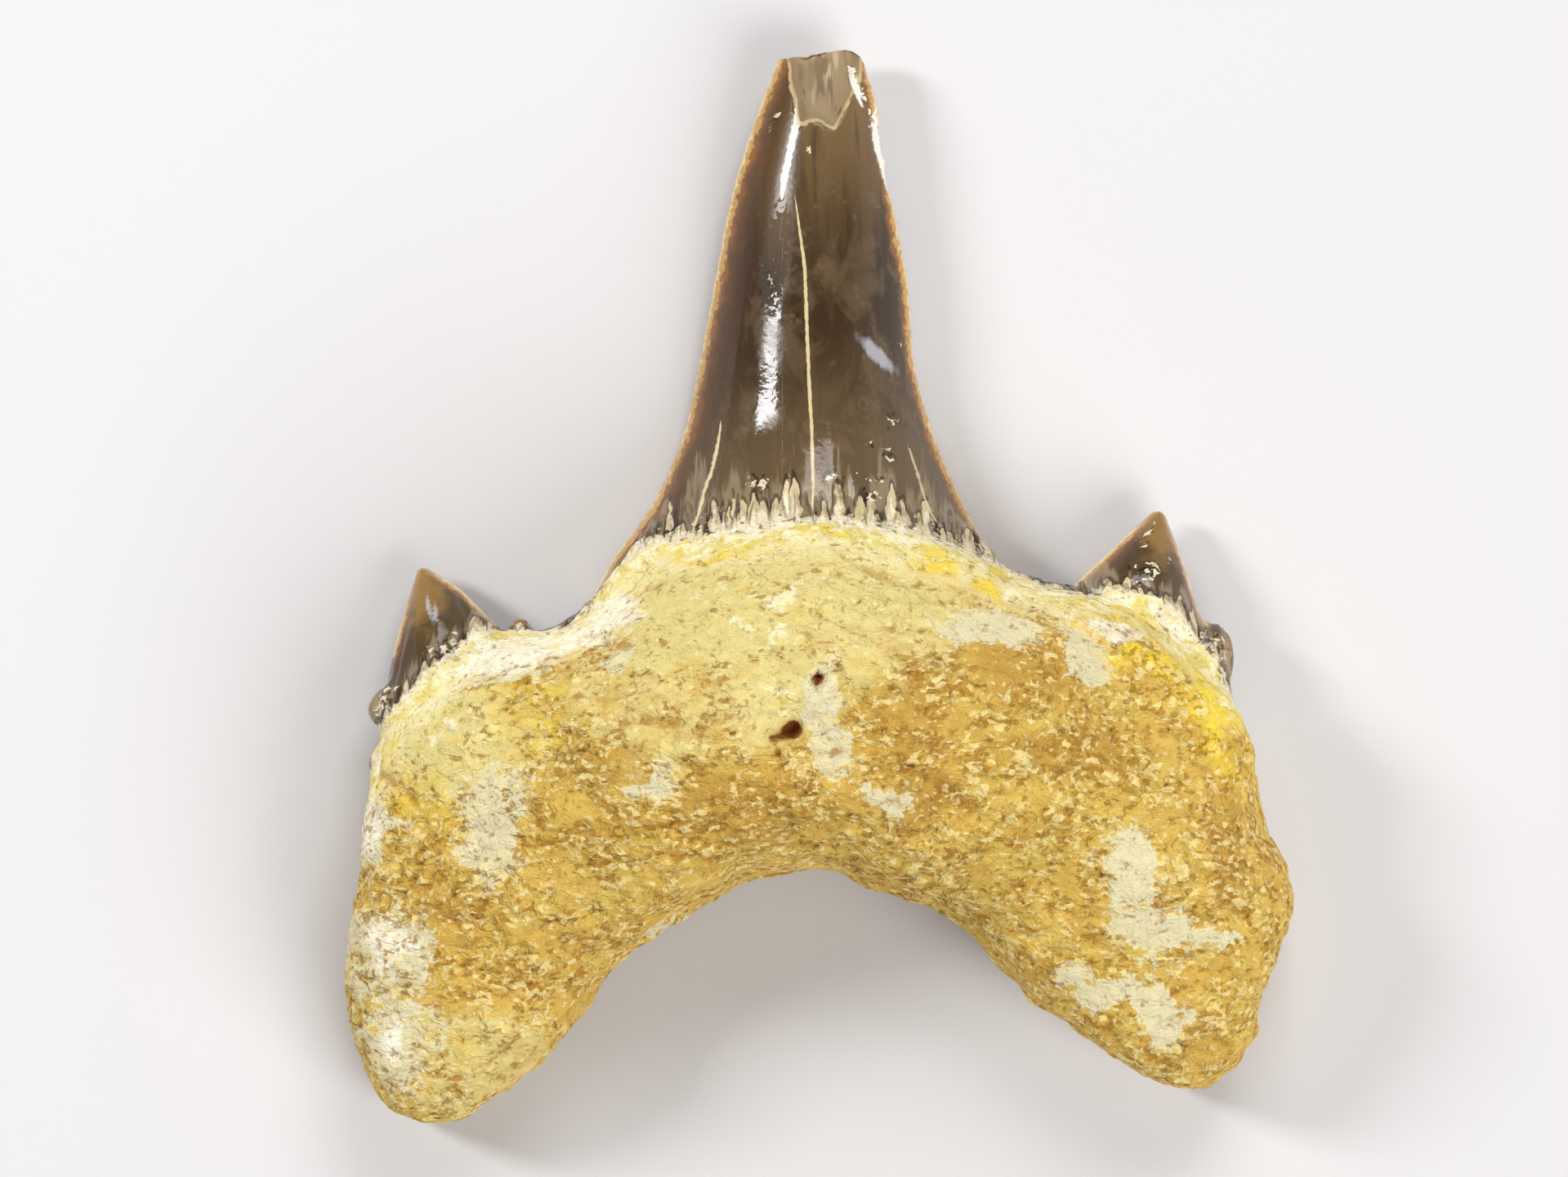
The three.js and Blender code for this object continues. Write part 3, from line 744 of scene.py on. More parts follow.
# %% Chips along the right cutting edge
CHIPS = {
    "tip right": (1.5, 18.6, 0.2, 0.85, 17),
    "edge upper": (2.55, 16.0, 0.36, 1.9, 15),
    "edge lower": (3.1, 14.1, 0.16, 0.7, 10),
}
CHIP_WANDER = 0.1
CHIP_DEPTH = 0.16
chips = patch_map(points, CHIPS, CHIP_WANDER)
chip_drop = CHIP_DEPTH * smooth_step(-0.1, 0.5, chips) * crown
crown_shift = crown * (folds + swells) - chip_drop
print("crown relief, mm:", np.round([crown_shift.min(), crown_shift.max()], 3))

# %% Broken tip: how far its rim is cut back at each x
TIP_CUT = [[-1.9, 0.3], [-1.5, 0.0], [-0.45, 0.1], [-0.3, 0.0], [1.2, 0.0], [1.6, 0.35], [1.9, 0.7]]
TIP_RISE = 0.15
JAG_HEIGHT, JAG_SIZE = 0.07, 0.32
near_tip = smooth_step(TIP_Y - 1.5, TIP_Y - 0.2, points[:, 1])
tip_cut = np.interp(points[:, 0], *np.transpose(TIP_CUT)) - TIP_RISE
tip_cut = near_tip * (tip_cut + JAG_HEIGHT * smooth_noise(points, JAG_SIZE, 95))
print("rim of the tip, mm:", np.round([tip_cut.min(), tip_cut.max()], 2))

# %% A grey smear and painted highlights on the enamel, and flecks with painted sparkles among them
GREY_SMEAR_AND_HIGHLIGHTS = {
    # A bluish-grey smear on the right of the cusp, and two painted highlights on the left cusplet's ridge
    # and flank.
    "smear": (2.3, 8.5, 1.2, 0.34, -44),
    "highlight on the left cusplet ridge": (-14.67, -0.75, 0.13, 0.75, 12),
    "highlight on the left cusplet flank": (-14.3, -1.1, 0.1, 0.5, 5),
}
FLECKS = {
    # The specks on the right of the cusp and the sparkles by the bright streak are painted sparkles of
    # light on the glossy enamel; the rest are pale specks and marks of the surface.
    "right high": (2.7, 6.2, 0.3, 0.3, 0),
    "right middle": (1.9, 5.2, 0.18, 0.22, 0),
    "right low": (2.6, 4.85, 0.5, 0.3, -45),
    "right lowest": (2.2, 3.9, 0.5, 0.25, 0),
    "dot near the tip": (-0.35, 16.2, 0.17, 0.17, 0),
    "scratch near the tip": (-1.6, 17.5, 0.15, 0.7, -32),
    "painted sparkles by the bright streak": (-1.78, 11.1, 0.3, 1.1, 10),
    "over the neck left": (-2.3, 3.8, 0.5, 0.4, 0),
    "over the neck middle": (0.5, 4.0, 0.9, 0.35, 0),
    "over the neck right": (1.9, 3.3, 0.6, 0.3, -20),
    "over the neck far left": (-3.9, 2.6, 0.5, 0.3, 20),
    "above the smear": (2.95, 9.0, 0.22, 0.14, 0),
    "right cusplet edge": (12.4, 1.85, 0.26, 0.6, -42),
    "right cusplet foot": (12.3, 0.4, 1.0, 0.55, 15),
    "right denticle": (14.7, -2.3, 1.0, 0.7, -45),
    "left cusplet foot": (-14.0, -2.5, 0.9, 0.5, 25),
    "left denticle": (-16.3, -4.6, 0.5, 1.2, -15),
}
GOLDEN_TIPS = {
    "right cusplet": (12.75, 2.0, 1.0, 1.5, 12),
    "left cusplet": (-14.9, -0.4, 1.0, 1.8, 0),
    "right denticle": (15.3, -2.6, 0.8, 1.0, 0),
    "left denticle": (-16.7, -4.6, 0.6, 0.9, 0),
    "middle denticle": (-11.3, -1.5, 0.7, 0.5, 0),
}
WORN_RIDGE = {"left of the middle": (-1.58, 12.3, 0.55, 2.2, -9)}
RIDGE_WANDER = 0.15
NOWHERE = -9
grey_smear_and_highlights = patch_map(points, GREY_SMEAR_AND_HIGHLIGHTS)
worn_ridge = patch_map(points, WORN_RIDGE, RIDGE_WANDER)
flecks = np.where(is_upper, patch_map(points, FLECKS), NOWHERE)
print("points with scuffs or flecks:", int(np.sum((grey_smear_and_highlights > 0) | (flecks > 0))))

# %% Put the relief on the skin
normals = normals_of(points)
shift = bone_shift + crown_shift
points = points + normals * shift[:, None]
points[:, 2] -= scar_drop + opening * bone
points[:, 1] -= tip_cut
points[:, 2] = np.maximum(points[:, 2], 0)

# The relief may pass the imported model's box by this much at the sides and the tip.
SPILL = 0.15
size_limit = np.array([SIDE_X, TIP_Y]) + SPILL
points[:, :2] = np.clip(points[:, :2], -size_limit, size_limit)
print("skin, mm:", np.round(points.min(axis=0), 2), np.round(points.max(axis=0), 2))

# %% [markdown]
# ## What the material needs to know
# Colour on a fossil follows its anatomy, so the skin carries attributes: how far inside the enamel a point
# is, how far from each cutting edge, how far beside each crack, and the patches. Numbers that grow or
# shrink smoothly across a border are best, because the shader can cut them sharply and add noise.

# %% Cracks: a wavy line up the cusp, given by the middle of the crack at a few heights
CRACKS = {
    "middle": [
        [-0.93, 14.7], [-0.54, 11.8], [-0.44, 9.0], [-0.35, 6.9], [-0.29, 5.96], [-0.23, 3.5], [-0.29, 2.3],
    ],
    "left": [
        [-3.67, 6.2], [-3.76, 5.4], [-3.98, 4.37], [-4.3, 3.5], [-4.49, 2.74], [-4.73, 1.95], [-4.92, 1.5],
    ],
    "right": [[3.32, 5.26], [3.71, 4.1], [3.96, 3.18], [4.28, 2.5], [4.65, 2.0]],
    "upper": [[-0.75, 18.5], [-0.84, 17.3], [-1.12, 16.1], [-1.36, 14.85], [-1.43, 14.3]],
}
FAR_AWAY = 10.0


def crack_offset(at, line):
    """Signed sideways distance to the crack at a point's own height, divided by 1 - |2 share - 1|^5 so that
    the crack tapers, or far away past its ends and on the labial face. The sign lets the shader find the
    middle of the crack between two points of the skin."""
    line = np.asarray(line[::-1], float)
    middle = np.interp(at[:, 1], line[:, 1], line[:, 0])
    past = (at[:, 1] < line[0, 1]) | (at[:, 1] > line[-1, 1]) | ~is_upper
    share = np.clip((at[:, 1] - line[0, 1]) / (line[-1, 1] - line[0, 1]), 0, 1)
    offset = (at[:, 0] - middle) / np.maximum(1 - np.abs(2 * share - 1) ** 5, 0.1)
    return offset + FAR_AWAY * past * np.sign(offset)


crack_offsets = {name: crack_offset(points, line) for name, line in CRACKS.items()}
print("cracks, mm:", {name: round(line[0][1] - line[-1][1], 1) for name, line in CRACKS.items()})

# %% Cutting edges, the scar and the chips
SHARP_BLADES = (CUSP, LEFT_CUSPLET, RIGHT_CUSPLET)

# An edge starts at its outline's second point, because the first one lies under the bone.
left_edge, right_edge = (
    np.min([path_distance(points, blade[side][1:]) for blade in SHARP_BLADES], axis=0)
    for side in ("left", "right")
)
EDGE_INSET = 0.06
EDGE_NARROWING = 0.9
on_cusplets = smooth_step(6.5, 9.0, np.abs(points[:, 0]))
edge_scale = 1 + EDGE_NARROWING * on_cusplets
left_edge = (left_edge - EDGE_INSET) * edge_scale
right_edge = (right_edge - EDGE_INSET) * edge_scale
scar_mark = np.where(points[:, 2] > 0.2, scar, -1)

# %% Write the attributes
skin.vertices.foreach_set("co", (points * MM).ravel())


def attribute(name, *channels):
    """Stores one number or three numbers for every point of the skin."""
    kind, field = ("FLOAT", "value") if len(channels) == 1 else ("FLOAT_VECTOR", "vector")
    data = skin.attributes.new(name, kind, "POINT").data
    data.foreach_set(field, np.stack(channels, axis=-1).astype(np.float32).ravel())


FRINGE_NARROWING = 1.5
fringe_scale = 1 + FRINGE_NARROWING * smooth_step(6.5, 8.5, np.abs(points[:, 0]))
attribute("enamel", np.where(enamel > 0, enamel * fringe_scale, enamel))
attribute("chalk", chalk)
attribute("worn ridge", worn_ridge)
attribute("cusplets", on_cusplets)
attribute("edges", left_edge, right_edge, scar_mark)
attribute("cracks", crack_offsets["middle"], crack_offsets["left"], crack_offsets["right"])
attribute("marks", crack_offsets["upper"], chips, opening)
attribute("patches", pale, yellow, ochre)
attribute("wear", cream, relief, smooth_bone)
golden = patch_map(points, GOLDEN_TIPS)
attribute("traces and highlights", grey_smear_and_highlights, flecks, golden)
skin.polygons.foreach_set("use_smooth", np.ones(len(skin.polygons), bool))
skin.update()
print("attributes:", len(skin.attributes))

# %% [markdown]
# ## Fossil tooth: phosphate enamel over bone
# A shark's tooth is one piece of mineral in two finishes. The enamel is dense fluorapatite with a polish
# like glazed ware, dark brown from iron and see-through at its thin cutting edges, where it turns orange
# and cream: partly its own amber, partly a glow of light through the edges that is painted into the
# colour. The root is porous bone, matt and earthy, stained ochre and yellow by the sediment. One
# material holds both, and the `enamel` attribute decides between them.


# %% Shader helpers
def linear(colour):
    """sRGB hex to linear: c / 12.92 up to 0.04045, above it ((c + 0.055) / 1.055)^2.4."""
    channels = [int(colour[k : k + 2], 16) / 255 for k in (1, 3, 5)]
    return [*(c / 12.92 if c <= 0.04045 else ((c + 0.055) / 1.055) ** 2.4 for c in channels), 1]


def add(tree, kind, sockets=None, **settings):
    """Adds a node, applies its settings, and fills its sockets: a socket is linked, a value is set."""
    node = tree.nodes.new(kind)
    for name, value in settings.items():
        setattr(node, name, value)
    for name, value in (sockets or {}).items():
        if isinstance(value, bpy.types.NodeSocket):
            tree.links.new(value, node.inputs[name])
        else:
            node.inputs[name].default_value = value
    return node


material = bpy.data.materials.new("Fossil tooth, enamel over bone")
material.use_nodes = True
tree = material.node_tree
tree.nodes.clear()
place = add(tree, "ShaderNodeTexCoord").outputs["Object"]
place = add(tree, "ShaderNodeVectorMath", {0: place, "Scale": 1 / MM}, operation="SCALE").outputs[0]

# %% Attributes as sockets
known = {
    name: add(tree, "ShaderNodeAttribute", attribute_name=name).outputs["Fac"]
    for name in ("enamel", "chalk", "cusplets", "worn ridge")
}
CHANNELS = {
    "edges": ("left edge", "right edge", "scar"),
    "cracks": ("middle crack", "left crack", "right crack"),
    "marks": ("upper crack", "chips", "opening"),
    "patches": ("pale", "yellow", "ochre"),
    "wear": ("cream", "relief", "smooth bone"),
    "traces and highlights": ("grey_smear_and_highlights", "flecks", "golden tips"),
}
for source, names in CHANNELS.items():
    vector = add(tree, "ShaderNodeAttribute", attribute_name=source).outputs["Vector"]
    split = add(tree, "ShaderNodeSeparateXYZ", {0: vector})
    known.update(zip(names, split.outputs))
split = add(tree, "ShaderNodeSeparateXYZ", {0: place})
known.update(zip(("x", "y", "z"), split.outputs))
for name in [name for name in known if name.endswith("crack")]:
    known[name] = add(tree, "ShaderNodeMath", {0: known[name]}, operation="ABSOLUTE").outputs[0]
print("numbers that the material knows:", len(known))

# %% [markdown]
# Noise comes in the sizes that the real surface shows, each named for what it is. A stretch of (1, 0.1, 1)
# draws the noise out along the cusp's length.

# %% Noise: size in mm, stretch, detail, roughness, distortion
NOISES = {
    "cloud": (3.4, (1, 1, 1), 3, 0.55, 0.3),
    "mottle": (1.15, (1, 1.25, 1), 4, 0.6, 0.4),
    "ragged": (0.8, (1, 1, 1), 5, 0.68, 0.5),
    "flakes": (0.56, (0.95, 1.15, 1.05), 3, 0.62, 0.6),
    "clusters": (1.5, (1, 1.2, 1), 3, 0.6, 0.3),
    "grit": (0.13, (0.8, 1.2, 1), 2, 0.5, 0.3),
    "streaks": (0.55, (1, 0.07, 0.5), 3, 0.55, 0.2),
    "fingers": (0.36, (1, 0.17, 0.12), 1, 0.4, 0.3),
    "tall fingers": (0.5, (1, 0.12, 0.1), 3, 0.6, 0.0),
    "smudge": (1.6, (1, 0.6, 1), 3, 0.5, 0.6),
    "specks": (0.2, (1, 1, 1), 1, 0.4, 0.2),
    "crumbs": (0.3, (1, 1.2, 1), 2, 0.5, 0.6),
}
for name, (size, stretch, detail, roughness, distortion) in NOISES.items():
    stretched = add(tree, "ShaderNodeVectorMath", {0: place, 1: stretch}, operation="MULTIPLY").outputs[0]
    settings = {
        "Vector": stretched, "Scale": 1 / size, "Detail": detail,
        "Roughness": roughness, "Distortion": distortion,
    }
    known[name] = add(tree, "ShaderNodeTexNoise", settings).outputs["Fac"]
print("noises, mm:", {name: row[0] for name, row in NOISES.items()})

# %% Flakes come in clusters, with quieter bone between them and on the smooth patches
calm = {"Value": known["smooth bone"], "To Min": 0.0, "To Max": 0.3}
calm = add(tree, "ShaderNodeMapRange", calm).outputs["Result"]
gain = add(tree, "ShaderNodeMath", {0: known["clusters"], 1: calm}, operation="SUBTRACT").outputs[0]
gain = {"Value": gain, "From Min": 0.36, "From Max": 0.56, "To Min": 0.72, "To Max": 1.28}
gain = add(tree, "ShaderNodeMapRange", gain, interpolation_type="SMOOTHSTEP").outputs["Result"]
centred = add(tree, "ShaderNodeMath", {0: known["flakes"], 1: 0.5}, operation="SUBTRACT").outputs[0]
centred = {0: centred, 1: gain, 2: 0.5}
known["flakes"] = add(tree, "ShaderNodeMath", centred, operation="MULTIPLY_ADD").outputs[0]

# %% Angular chips of bone: bent cells of 0.25 by 0.17 mm, each with a height of its own
CHIP_CELL = (1 / 0.25, 1 / 0.17, 1 / 0.2)
CHIP_BEND = (1.5, 1.5, 1.5)
cells = add(tree, "ShaderNodeVectorMath", {0: place, 1: CHIP_CELL}, operation="MULTIPLY").outputs[0]
BEND_SIZE = 0.5
bend = {"Vector": place, "Scale": 1 / BEND_SIZE, "Detail": 2.0}
bend = add(tree, "ShaderNodeTexNoise", bend).outputs["Color"]
cells = {0: bend, 1: CHIP_BEND, 2: cells}
cells = add(tree, "ShaderNodeVectorMath", cells, operation="MULTIPLY_ADD").outputs[0]
cells = add(tree, "ShaderNodeTexVoronoi", {"Vector": cells, "Scale": 1.0}).outputs["Color"]
cells = add(tree, "ShaderNodeSeparateXYZ", {0: cells}).outputs["X"]
cells = add(tree, "ShaderNodeMath", {0: cells, 1: 0.5}, operation="SUBTRACT").outputs[0]
cells = {0: cells, 1: gain, 2: 0.5}
known["bone chips"] = add(tree, "ShaderNodeMath", cells, operation="MULTIPLY_ADD").outputs[0]

# %% [markdown]
# At the neck the bone reaches up over the enamel in short fingers. They are narrow upright cells: the
# distance from a cell's middle gives a finger its round top, and the cell's own number its reach.

# %% Fingers of bone over the enamel
FINGER_CELL = (1 / 0.4, 1 / 3.0, 1 / 3.0)
FINGER_BEND = (0.7, 0.5, 0.5)
REACH_SPREAD = 0.6
upright = add(tree, "ShaderNodeVectorMath", {0: place, 1: FINGER_CELL}, operation="MULTIPLY").outputs[0]
upright = {0: bend, 1: FINGER_BEND, 2: upright}
upright = add(tree, "ShaderNodeVectorMath", upright, operation="MULTIPLY_ADD").outputs[0]
fingers = add(tree, "ShaderNodeTexVoronoi", {"Vector": upright, "Scale": 1.0}).outputs
reach = add(tree, "ShaderNodeSeparateXYZ", {0: fingers["Color"]}).outputs["X"]
reach = {0: reach, 1: REACH_SPREAD, 2: fingers["Distance"]}
known["bone fingers"] = add(tree, "ShaderNodeMath", reach, operation="MULTIPLY_ADD").outputs[0]

# %% [markdown]
# Every layer of colour lies where a smooth number, roughened by noise, passes a limit. So the layers are a
# table: what they show, the number, the noise and how much of it, the two limits, the colour and its
# strength. Later rows lie on top of earlier ones.


# %% Layers of colour
def ragged_border(number, noise, amount, start, end):
    """Mask from 0 at `start` to 1 at `end` of number + (noise - 0.5) * amount, along a smooth step."""
    wobble = {0: known[noise], 1: amount, 2: -amount / 2}
    total = add(tree, "ShaderNodeMath", wobble, operation="MULTIPLY_ADD").outputs[0]
    total = add(tree, "ShaderNodeMath", {0: known[number], 1: total}, operation="ADD").outputs[0]
    limits = {"Value": total, "From Min": start, "From Max": end}
    return add(tree, "ShaderNodeMapRange", limits, interpolation_type="SMOOTHSTEP").outputs["Result"]


def painted(base, layers):
    """Lays each layer's colour over the base, through its mask times its strength."""
    colour = base
    for what, (number, noise, amount, start, end, shade, strength) in layers.items():
        mask = ragged_border(number, noise, amount, start, end)
        share = add(tree, "ShaderNodeMath", {0: mask, 1: strength}, operation="MULTIPLY", label=what)
        settings = {0: share.outputs[0], 6: colour, 7: linear(shade)}
        colour = add(tree, "ShaderNodeMix", settings, data_type="RGBA").outputs[2]
    return colour


BONE_LAYERS = {
    "light mottling": ("mottle", "ragged", 0.3, 0.5, 0.72, "#dec362", 0.6),
    "brown mottling": ("mottle", "ragged", 0.3, 0.47, 0.28, "#ba9038", 0.6),
    "clouds of light": ("cloud", "mottle", 0.3, 0.5, 0.7, "#dabb58", 0.6),
    "deep ochre": ("ochre", "ragged", 1.8, -0.3, 0.5, "#b48935", 0.6),
    "cream areas": ("cream", "ragged", 1.8, -0.4, 0.4, "#e2d28c", 0.85),
    "green tinge": ("cream", "cloud", 3.5, 0.0, 0.6, "#d2c87e", 0.3),
    "bare pale bone": ("pale", "crumbs", 1.7, -0.12, 0.1, "#dfd7b0", 0.88),
    "cream neck": ("enamel", "ragged", 0.8, -1.7, -0.5, "#f2e6ae", 0.85),
    "yellow stain": ("yellow", "mottle", 2.4, -0.4, 0.8, "#e6c43a", 0.75),
    "bright yellow": ("yellow", "mottle", 2.0, 0.35, 0.9, "#f6d834", 0.8),
    "yellow neck line": ("enamel", "mottle", 1.6, -0.8, -0.3, "#e2cf58", 0.4),
    "pale neck rim": ("enamel", "ragged", 1.2, -0.3, 0.0, "#f3ead0", 0.5),
    "chalk": ("chalk", "ragged", 1.6, -0.15, 0.35, "#f8f0da", 0.85),
    "chalky lumps": ("enamel", "ragged", 5.0, -0.5, -0.1, "#fcf5d2", 0.6),
    "yellow hollows of the neck": ("enamel", "ragged", -5.0, -0.5, 0.0, "#dfc862", 0.5),
    "chalky specks": ("cream", "ragged", 4.5, 1.0, 1.4, "#fbf5d4", 0.6),
    "yellow specks": ("cream", "ragged", -4.5, 1.0, 1.4, "#dcc05a", 0.6),
    # Painted shade: brown in the hollows of the displaced relief, and painted highlights in cream on its
    # ridges.
    "hollows": ("relief", "grit", 0.08, -0.04, -0.16, "#aa7a24", 0.65),
    "painted highlights on the ridges": ("relief", "grit", 0.06, 0.07, 0.15, "#f0dea0", 0.55),
    # Brown in the low places and cream on the high places of the flake bump: partly the flakes' own
    # colours, partly painted shade and painted highlights.
    "brown flakes and painted shade": ("flakes", "grit", 0.2, 0.44, 0.33, "#a4741e", 0.75),
    "cream flakes and painted highlights": ("flakes", "grit", 0.2, 0.58, 0.68, "#eed88e", 0.74),
    # Brown on the low chip cells and cream on the high ones, which are also the bump's heights: partly the
    # chips' own colours, partly painted shade and painted highlights.
    "brown chips and painted shade": ("bone chips", "specks", 0.5, 0.2, 0.04, "#a0701c", 0.65),
    "cream chips and painted highlights": ("bone chips", "specks", 0.5, 0.8, 0.96, "#f4e09c", 0.65),
    # Near-black painted shade in the deepest low places of the flake bump.
    "painted shade in the pits": ("flakes", "specks", 0.3, 0.29, 0.22, "#6b4512", 0.8),
    "inside the foramina": ("opening", "grit", 0.1, 0.1, 0.4, "#935318", 0.97),
}
CROWN_LAYERS = {
    "tan towards the tip": ("y", "streaks", 5.0, 11.0, 18.5, "#7b613d", 0.85),
    "brown streaks": ("streaks", "ragged", 0.15, 0.5, 0.66, "#54402a", 0.35),
    "faint smudges": ("smudge", "ragged", 0.4, 0.5, 0.66, "#6a563e", 0.5),
    "small smudges": ("mottle", "specks", 0.3, 0.58, 0.7, "#6e5a42", 0.5),
    "dark streaks": ("streaks", "ragged", 0.15, 0.45, 0.3, "#302417", 0.45),
    "grey cloud above the neck": ("enamel", "smudge", 5.0, 7.6, 1.8, "#826d50", 0.42),
    "dark cusplets": ("cusplets", "streaks", 0.6, 0.4, 0.9, "#4a3a22", 0.85),
    "red-brown left side": ("left edge", "streaks", 1.0, 1.9, 0.4, "#45290f", 0.85),
    "amber left flank": ("left edge", "mottle", 0.9, 1.0, 0.3, "#69451a", 0.6),
    "orange left edge": ("left edge", "mottle", 0.7, 0.5, 0.2, "#8a561c", 0.85),
    "orange right edge": ("right edge", "mottle", 0.6, 0.42, 0.18, "#8a561c", 0.85),
    # The golden edges are partly the thin enamel's own amber and partly painted glow of light through it;
    # the cream rims are painted glow.
    "golden left edge and painted glow": ("left edge", "crumbs", 0.45, 0.26, 0.14, "#c69a48", 0.9),
    "golden right edge and painted glow": ("right edge", "crumbs", 0.45, 0.24, 0.1, "#c49848", 0.9),
    "painted glow on the left rim": ("left edge", "crumbs", 0.36, 0.07, 0.0, "#e6d3a8", 0.8),
    "painted glow on the right rim": ("right edge", "crumbs", 0.36, 0.06, -0.01, "#e6d3a8", 0.8),
    "golden tips": ("golden tips", "ragged", 1.5, -0.1, 0.7, "#94703a", 0.8),
    "tall grey fingers": ("enamel", "tall fingers", 8.0, 1.9, 1.0, "#9c8b6e", 0.6),
    "dark slots": ("enamel", "tall fingers", -5.0, 0.4, 0.1, "#2e1d0c", 0.85),
    "round the bone fingers": ("enamel", "bone fingers", 2.2, 1.75, 1.5, "#2a1b0e", 0.6),
    "bone fingers": ("enamel", "bone fingers", 2.2, 1.34, 1.2, "#d6c298", 0.88),
    "lit finger tops": ("enamel", "bone fingers", 2.2, 0.8, 0.5, "#efe4c4", 0.7),
    "cream blobs": ("enamel", "ragged", 2.2, 0.3, 0.12, "#ece0ba", 0.8),
    # Painted white glints along the neck.
    "painted white glints along the neck": ("enamel", "crumbs", 5.0, -0.1, -0.35, "#f8f1dc", 0.8),
    "dark crumbs": ("enamel", "crumbs", -5.5, -0.45, -0.7, "#1f150c", 0.7),
    "middle crack": ("middle crack", "specks", 0.07, 0.08, 0.045, "#d8c698", 0.9),
    "left crack": ("left crack", "specks", 0.12, 0.085, 0.035, "#e0d0a2", 0.9),
    "right crack": ("right crack", "specks", 0.12, 0.07, 0.02, "#d6c59a", 0.75),
    "upper crack": ("upper crack", "specks", 0.16, 0.15, 0.1, "#f4eedb", 0.95),
    "step round the scar": ("scar", "ragged", 0.5, -0.14, -0.06, "#cdb88a", 0.75),
    "broken tip": ("scar", "streaks", 0.06, -0.01, 0.04, "#927d5c", 0.97),
    "light veins in the scar": ("scar", "streaks", -7.0, 0.8, 1.5, "#b9a684", 0.8),
    "dark veins in the scar": ("scar", "streaks", 7.0, 0.9, 1.5, "#66523a", 0.8),
    "stain in the scar": ("scar", "smudge", 3.0, 0.75, 1.15, "#7c6748", 0.7),
    "chips": ("chips", "crumbs", 1.7, 0.0, 0.2, "#f0ece0", 0.95),
    # Bluish grey over the smear, and painted highlights on the left cusplet's ridge and flank.
    "grey_smear_and_highlights": ("grey_smear_and_highlights", "streaks", 1.6, 0.0, 0.5, "#b0b1b6", 0.75),
    # Cream specks, partly painted sparkles, with painted shadows in near black beside them.
    "flecks": ("flecks", "crumbs", 5.0, 0.85, 1.05, "#e8dec2", 0.85),
    "painted shadows beside the flecks": ("flecks", "crumbs", -5.0, 0.85, 1.15, "#17100a", 0.75),
}
bone_colour = painted(linear("#d1ab4e"), BONE_LAYERS)
crown_colour = painted(linear("#3a2b1b"), CROWN_LAYERS)
print("colour layers:", len(BONE_LAYERS) + len(CROWN_LAYERS))

# %% [markdown]
# Clean enamel shines like glazed ware. Smudges dull it a little, and so did many hands on the upper cusp.
# A worn ridge left of the middle is matt and breaks the bright streak in two. The scar of the broken tip is
# as matt as that ridge, and bare bone more so.

# %% Enamel or bone
is_enamel = ragged_border("enamel", "fingers", 0.55, -0.08, 0.04)
colour = add(tree, "ShaderNodeMix", {0: is_enamel, 6: bone_colour, 7: crown_colour}, data_type="RGBA")

# %% How glossy
ENAMEL_ROUGHNESS = 0.08
SMUDGED_ROUGHNESS = 0.24
HANDLED_ROUGHNESS = 0.26
WORN_ROUGHNESS = 0.6
BONE_ROUGHNESS = 0.82
polished = ragged_border("enamel", "fingers", 2.6, 0.3, 1.0)
smudged = ragged_border("smudge", "specks", 0.2, 0.45, 0.7)
handled = ragged_border("y", "smudge", 1.2, 9.9, 11.6)
handled = add(tree, "ShaderNodeMath", {0: handled, 1: polished}, operation="MULTIPLY").outputs[0]
rubbed = ragged_border("worn ridge", "crumbs", 1.6, 0.0, 0.12)
broken = ragged_border("scar", "grit", 0.05, -0.02, 0.04)
gloss = {"Value": smudged, "To Min": ENAMEL_ROUGHNESS, "To Max": SMUDGED_ROUGHNESS}
gloss = add(tree, "ShaderNodeMapRange", gloss).outputs["Result"]
gloss = add(tree, "ShaderNodeMix", {0: polished, 2: BONE_ROUGHNESS, 3: gloss}).outputs[0]
DULL = ((handled, HANDLED_ROUGHNESS), (rubbed, WORN_ROUGHNESS), (broken, WORN_ROUGHNESS))
for mask, roughness in DULL:
    gloss = add(tree, "ShaderNodeMix", {0: mask, 2: gloss, 3: roughness}).outputs[0]

# %% [markdown]
# Bump gives the grain that is finer than the skin's points. Heights are in millimetres, so the Bump node's
# distance is one millimetre. The crown gets next to none of it, because any more would dull its polish.

# %% Fine relief
FLAKE_RELIEF = 0.46
CHIP_RELIEF = 0.12
GRIT_RELIEF = 0.035
CROWN_RELIEF = 0.006
flakes = {0: known["flakes"], 1: FLAKE_RELIEF}
bone_height = add(tree, "ShaderNodeMath", flakes, operation="MULTIPLY").outputs[0]
for name, grain in (("bone chips", CHIP_RELIEF), ("grit", GRIT_RELIEF)):
    finer = {0: known[name], 1: grain, 2: bone_height}
    bone_height = add(tree, "ShaderNodeMath", finer, operation="MULTIPLY_ADD").outputs[0]
specks = {0: known["specks"], 1: CROWN_RELIEF}
crown_height = add(tree, "ShaderNodeMath", specks, operation="MULTIPLY").outputs[0]
height = add(tree, "ShaderNodeMix", {0: polished, 2: bone_height, 3: crown_height})
bump = add(tree, "ShaderNodeBump", {"Height": height.outputs[0], "Distance": MM, "Strength": 1.0})

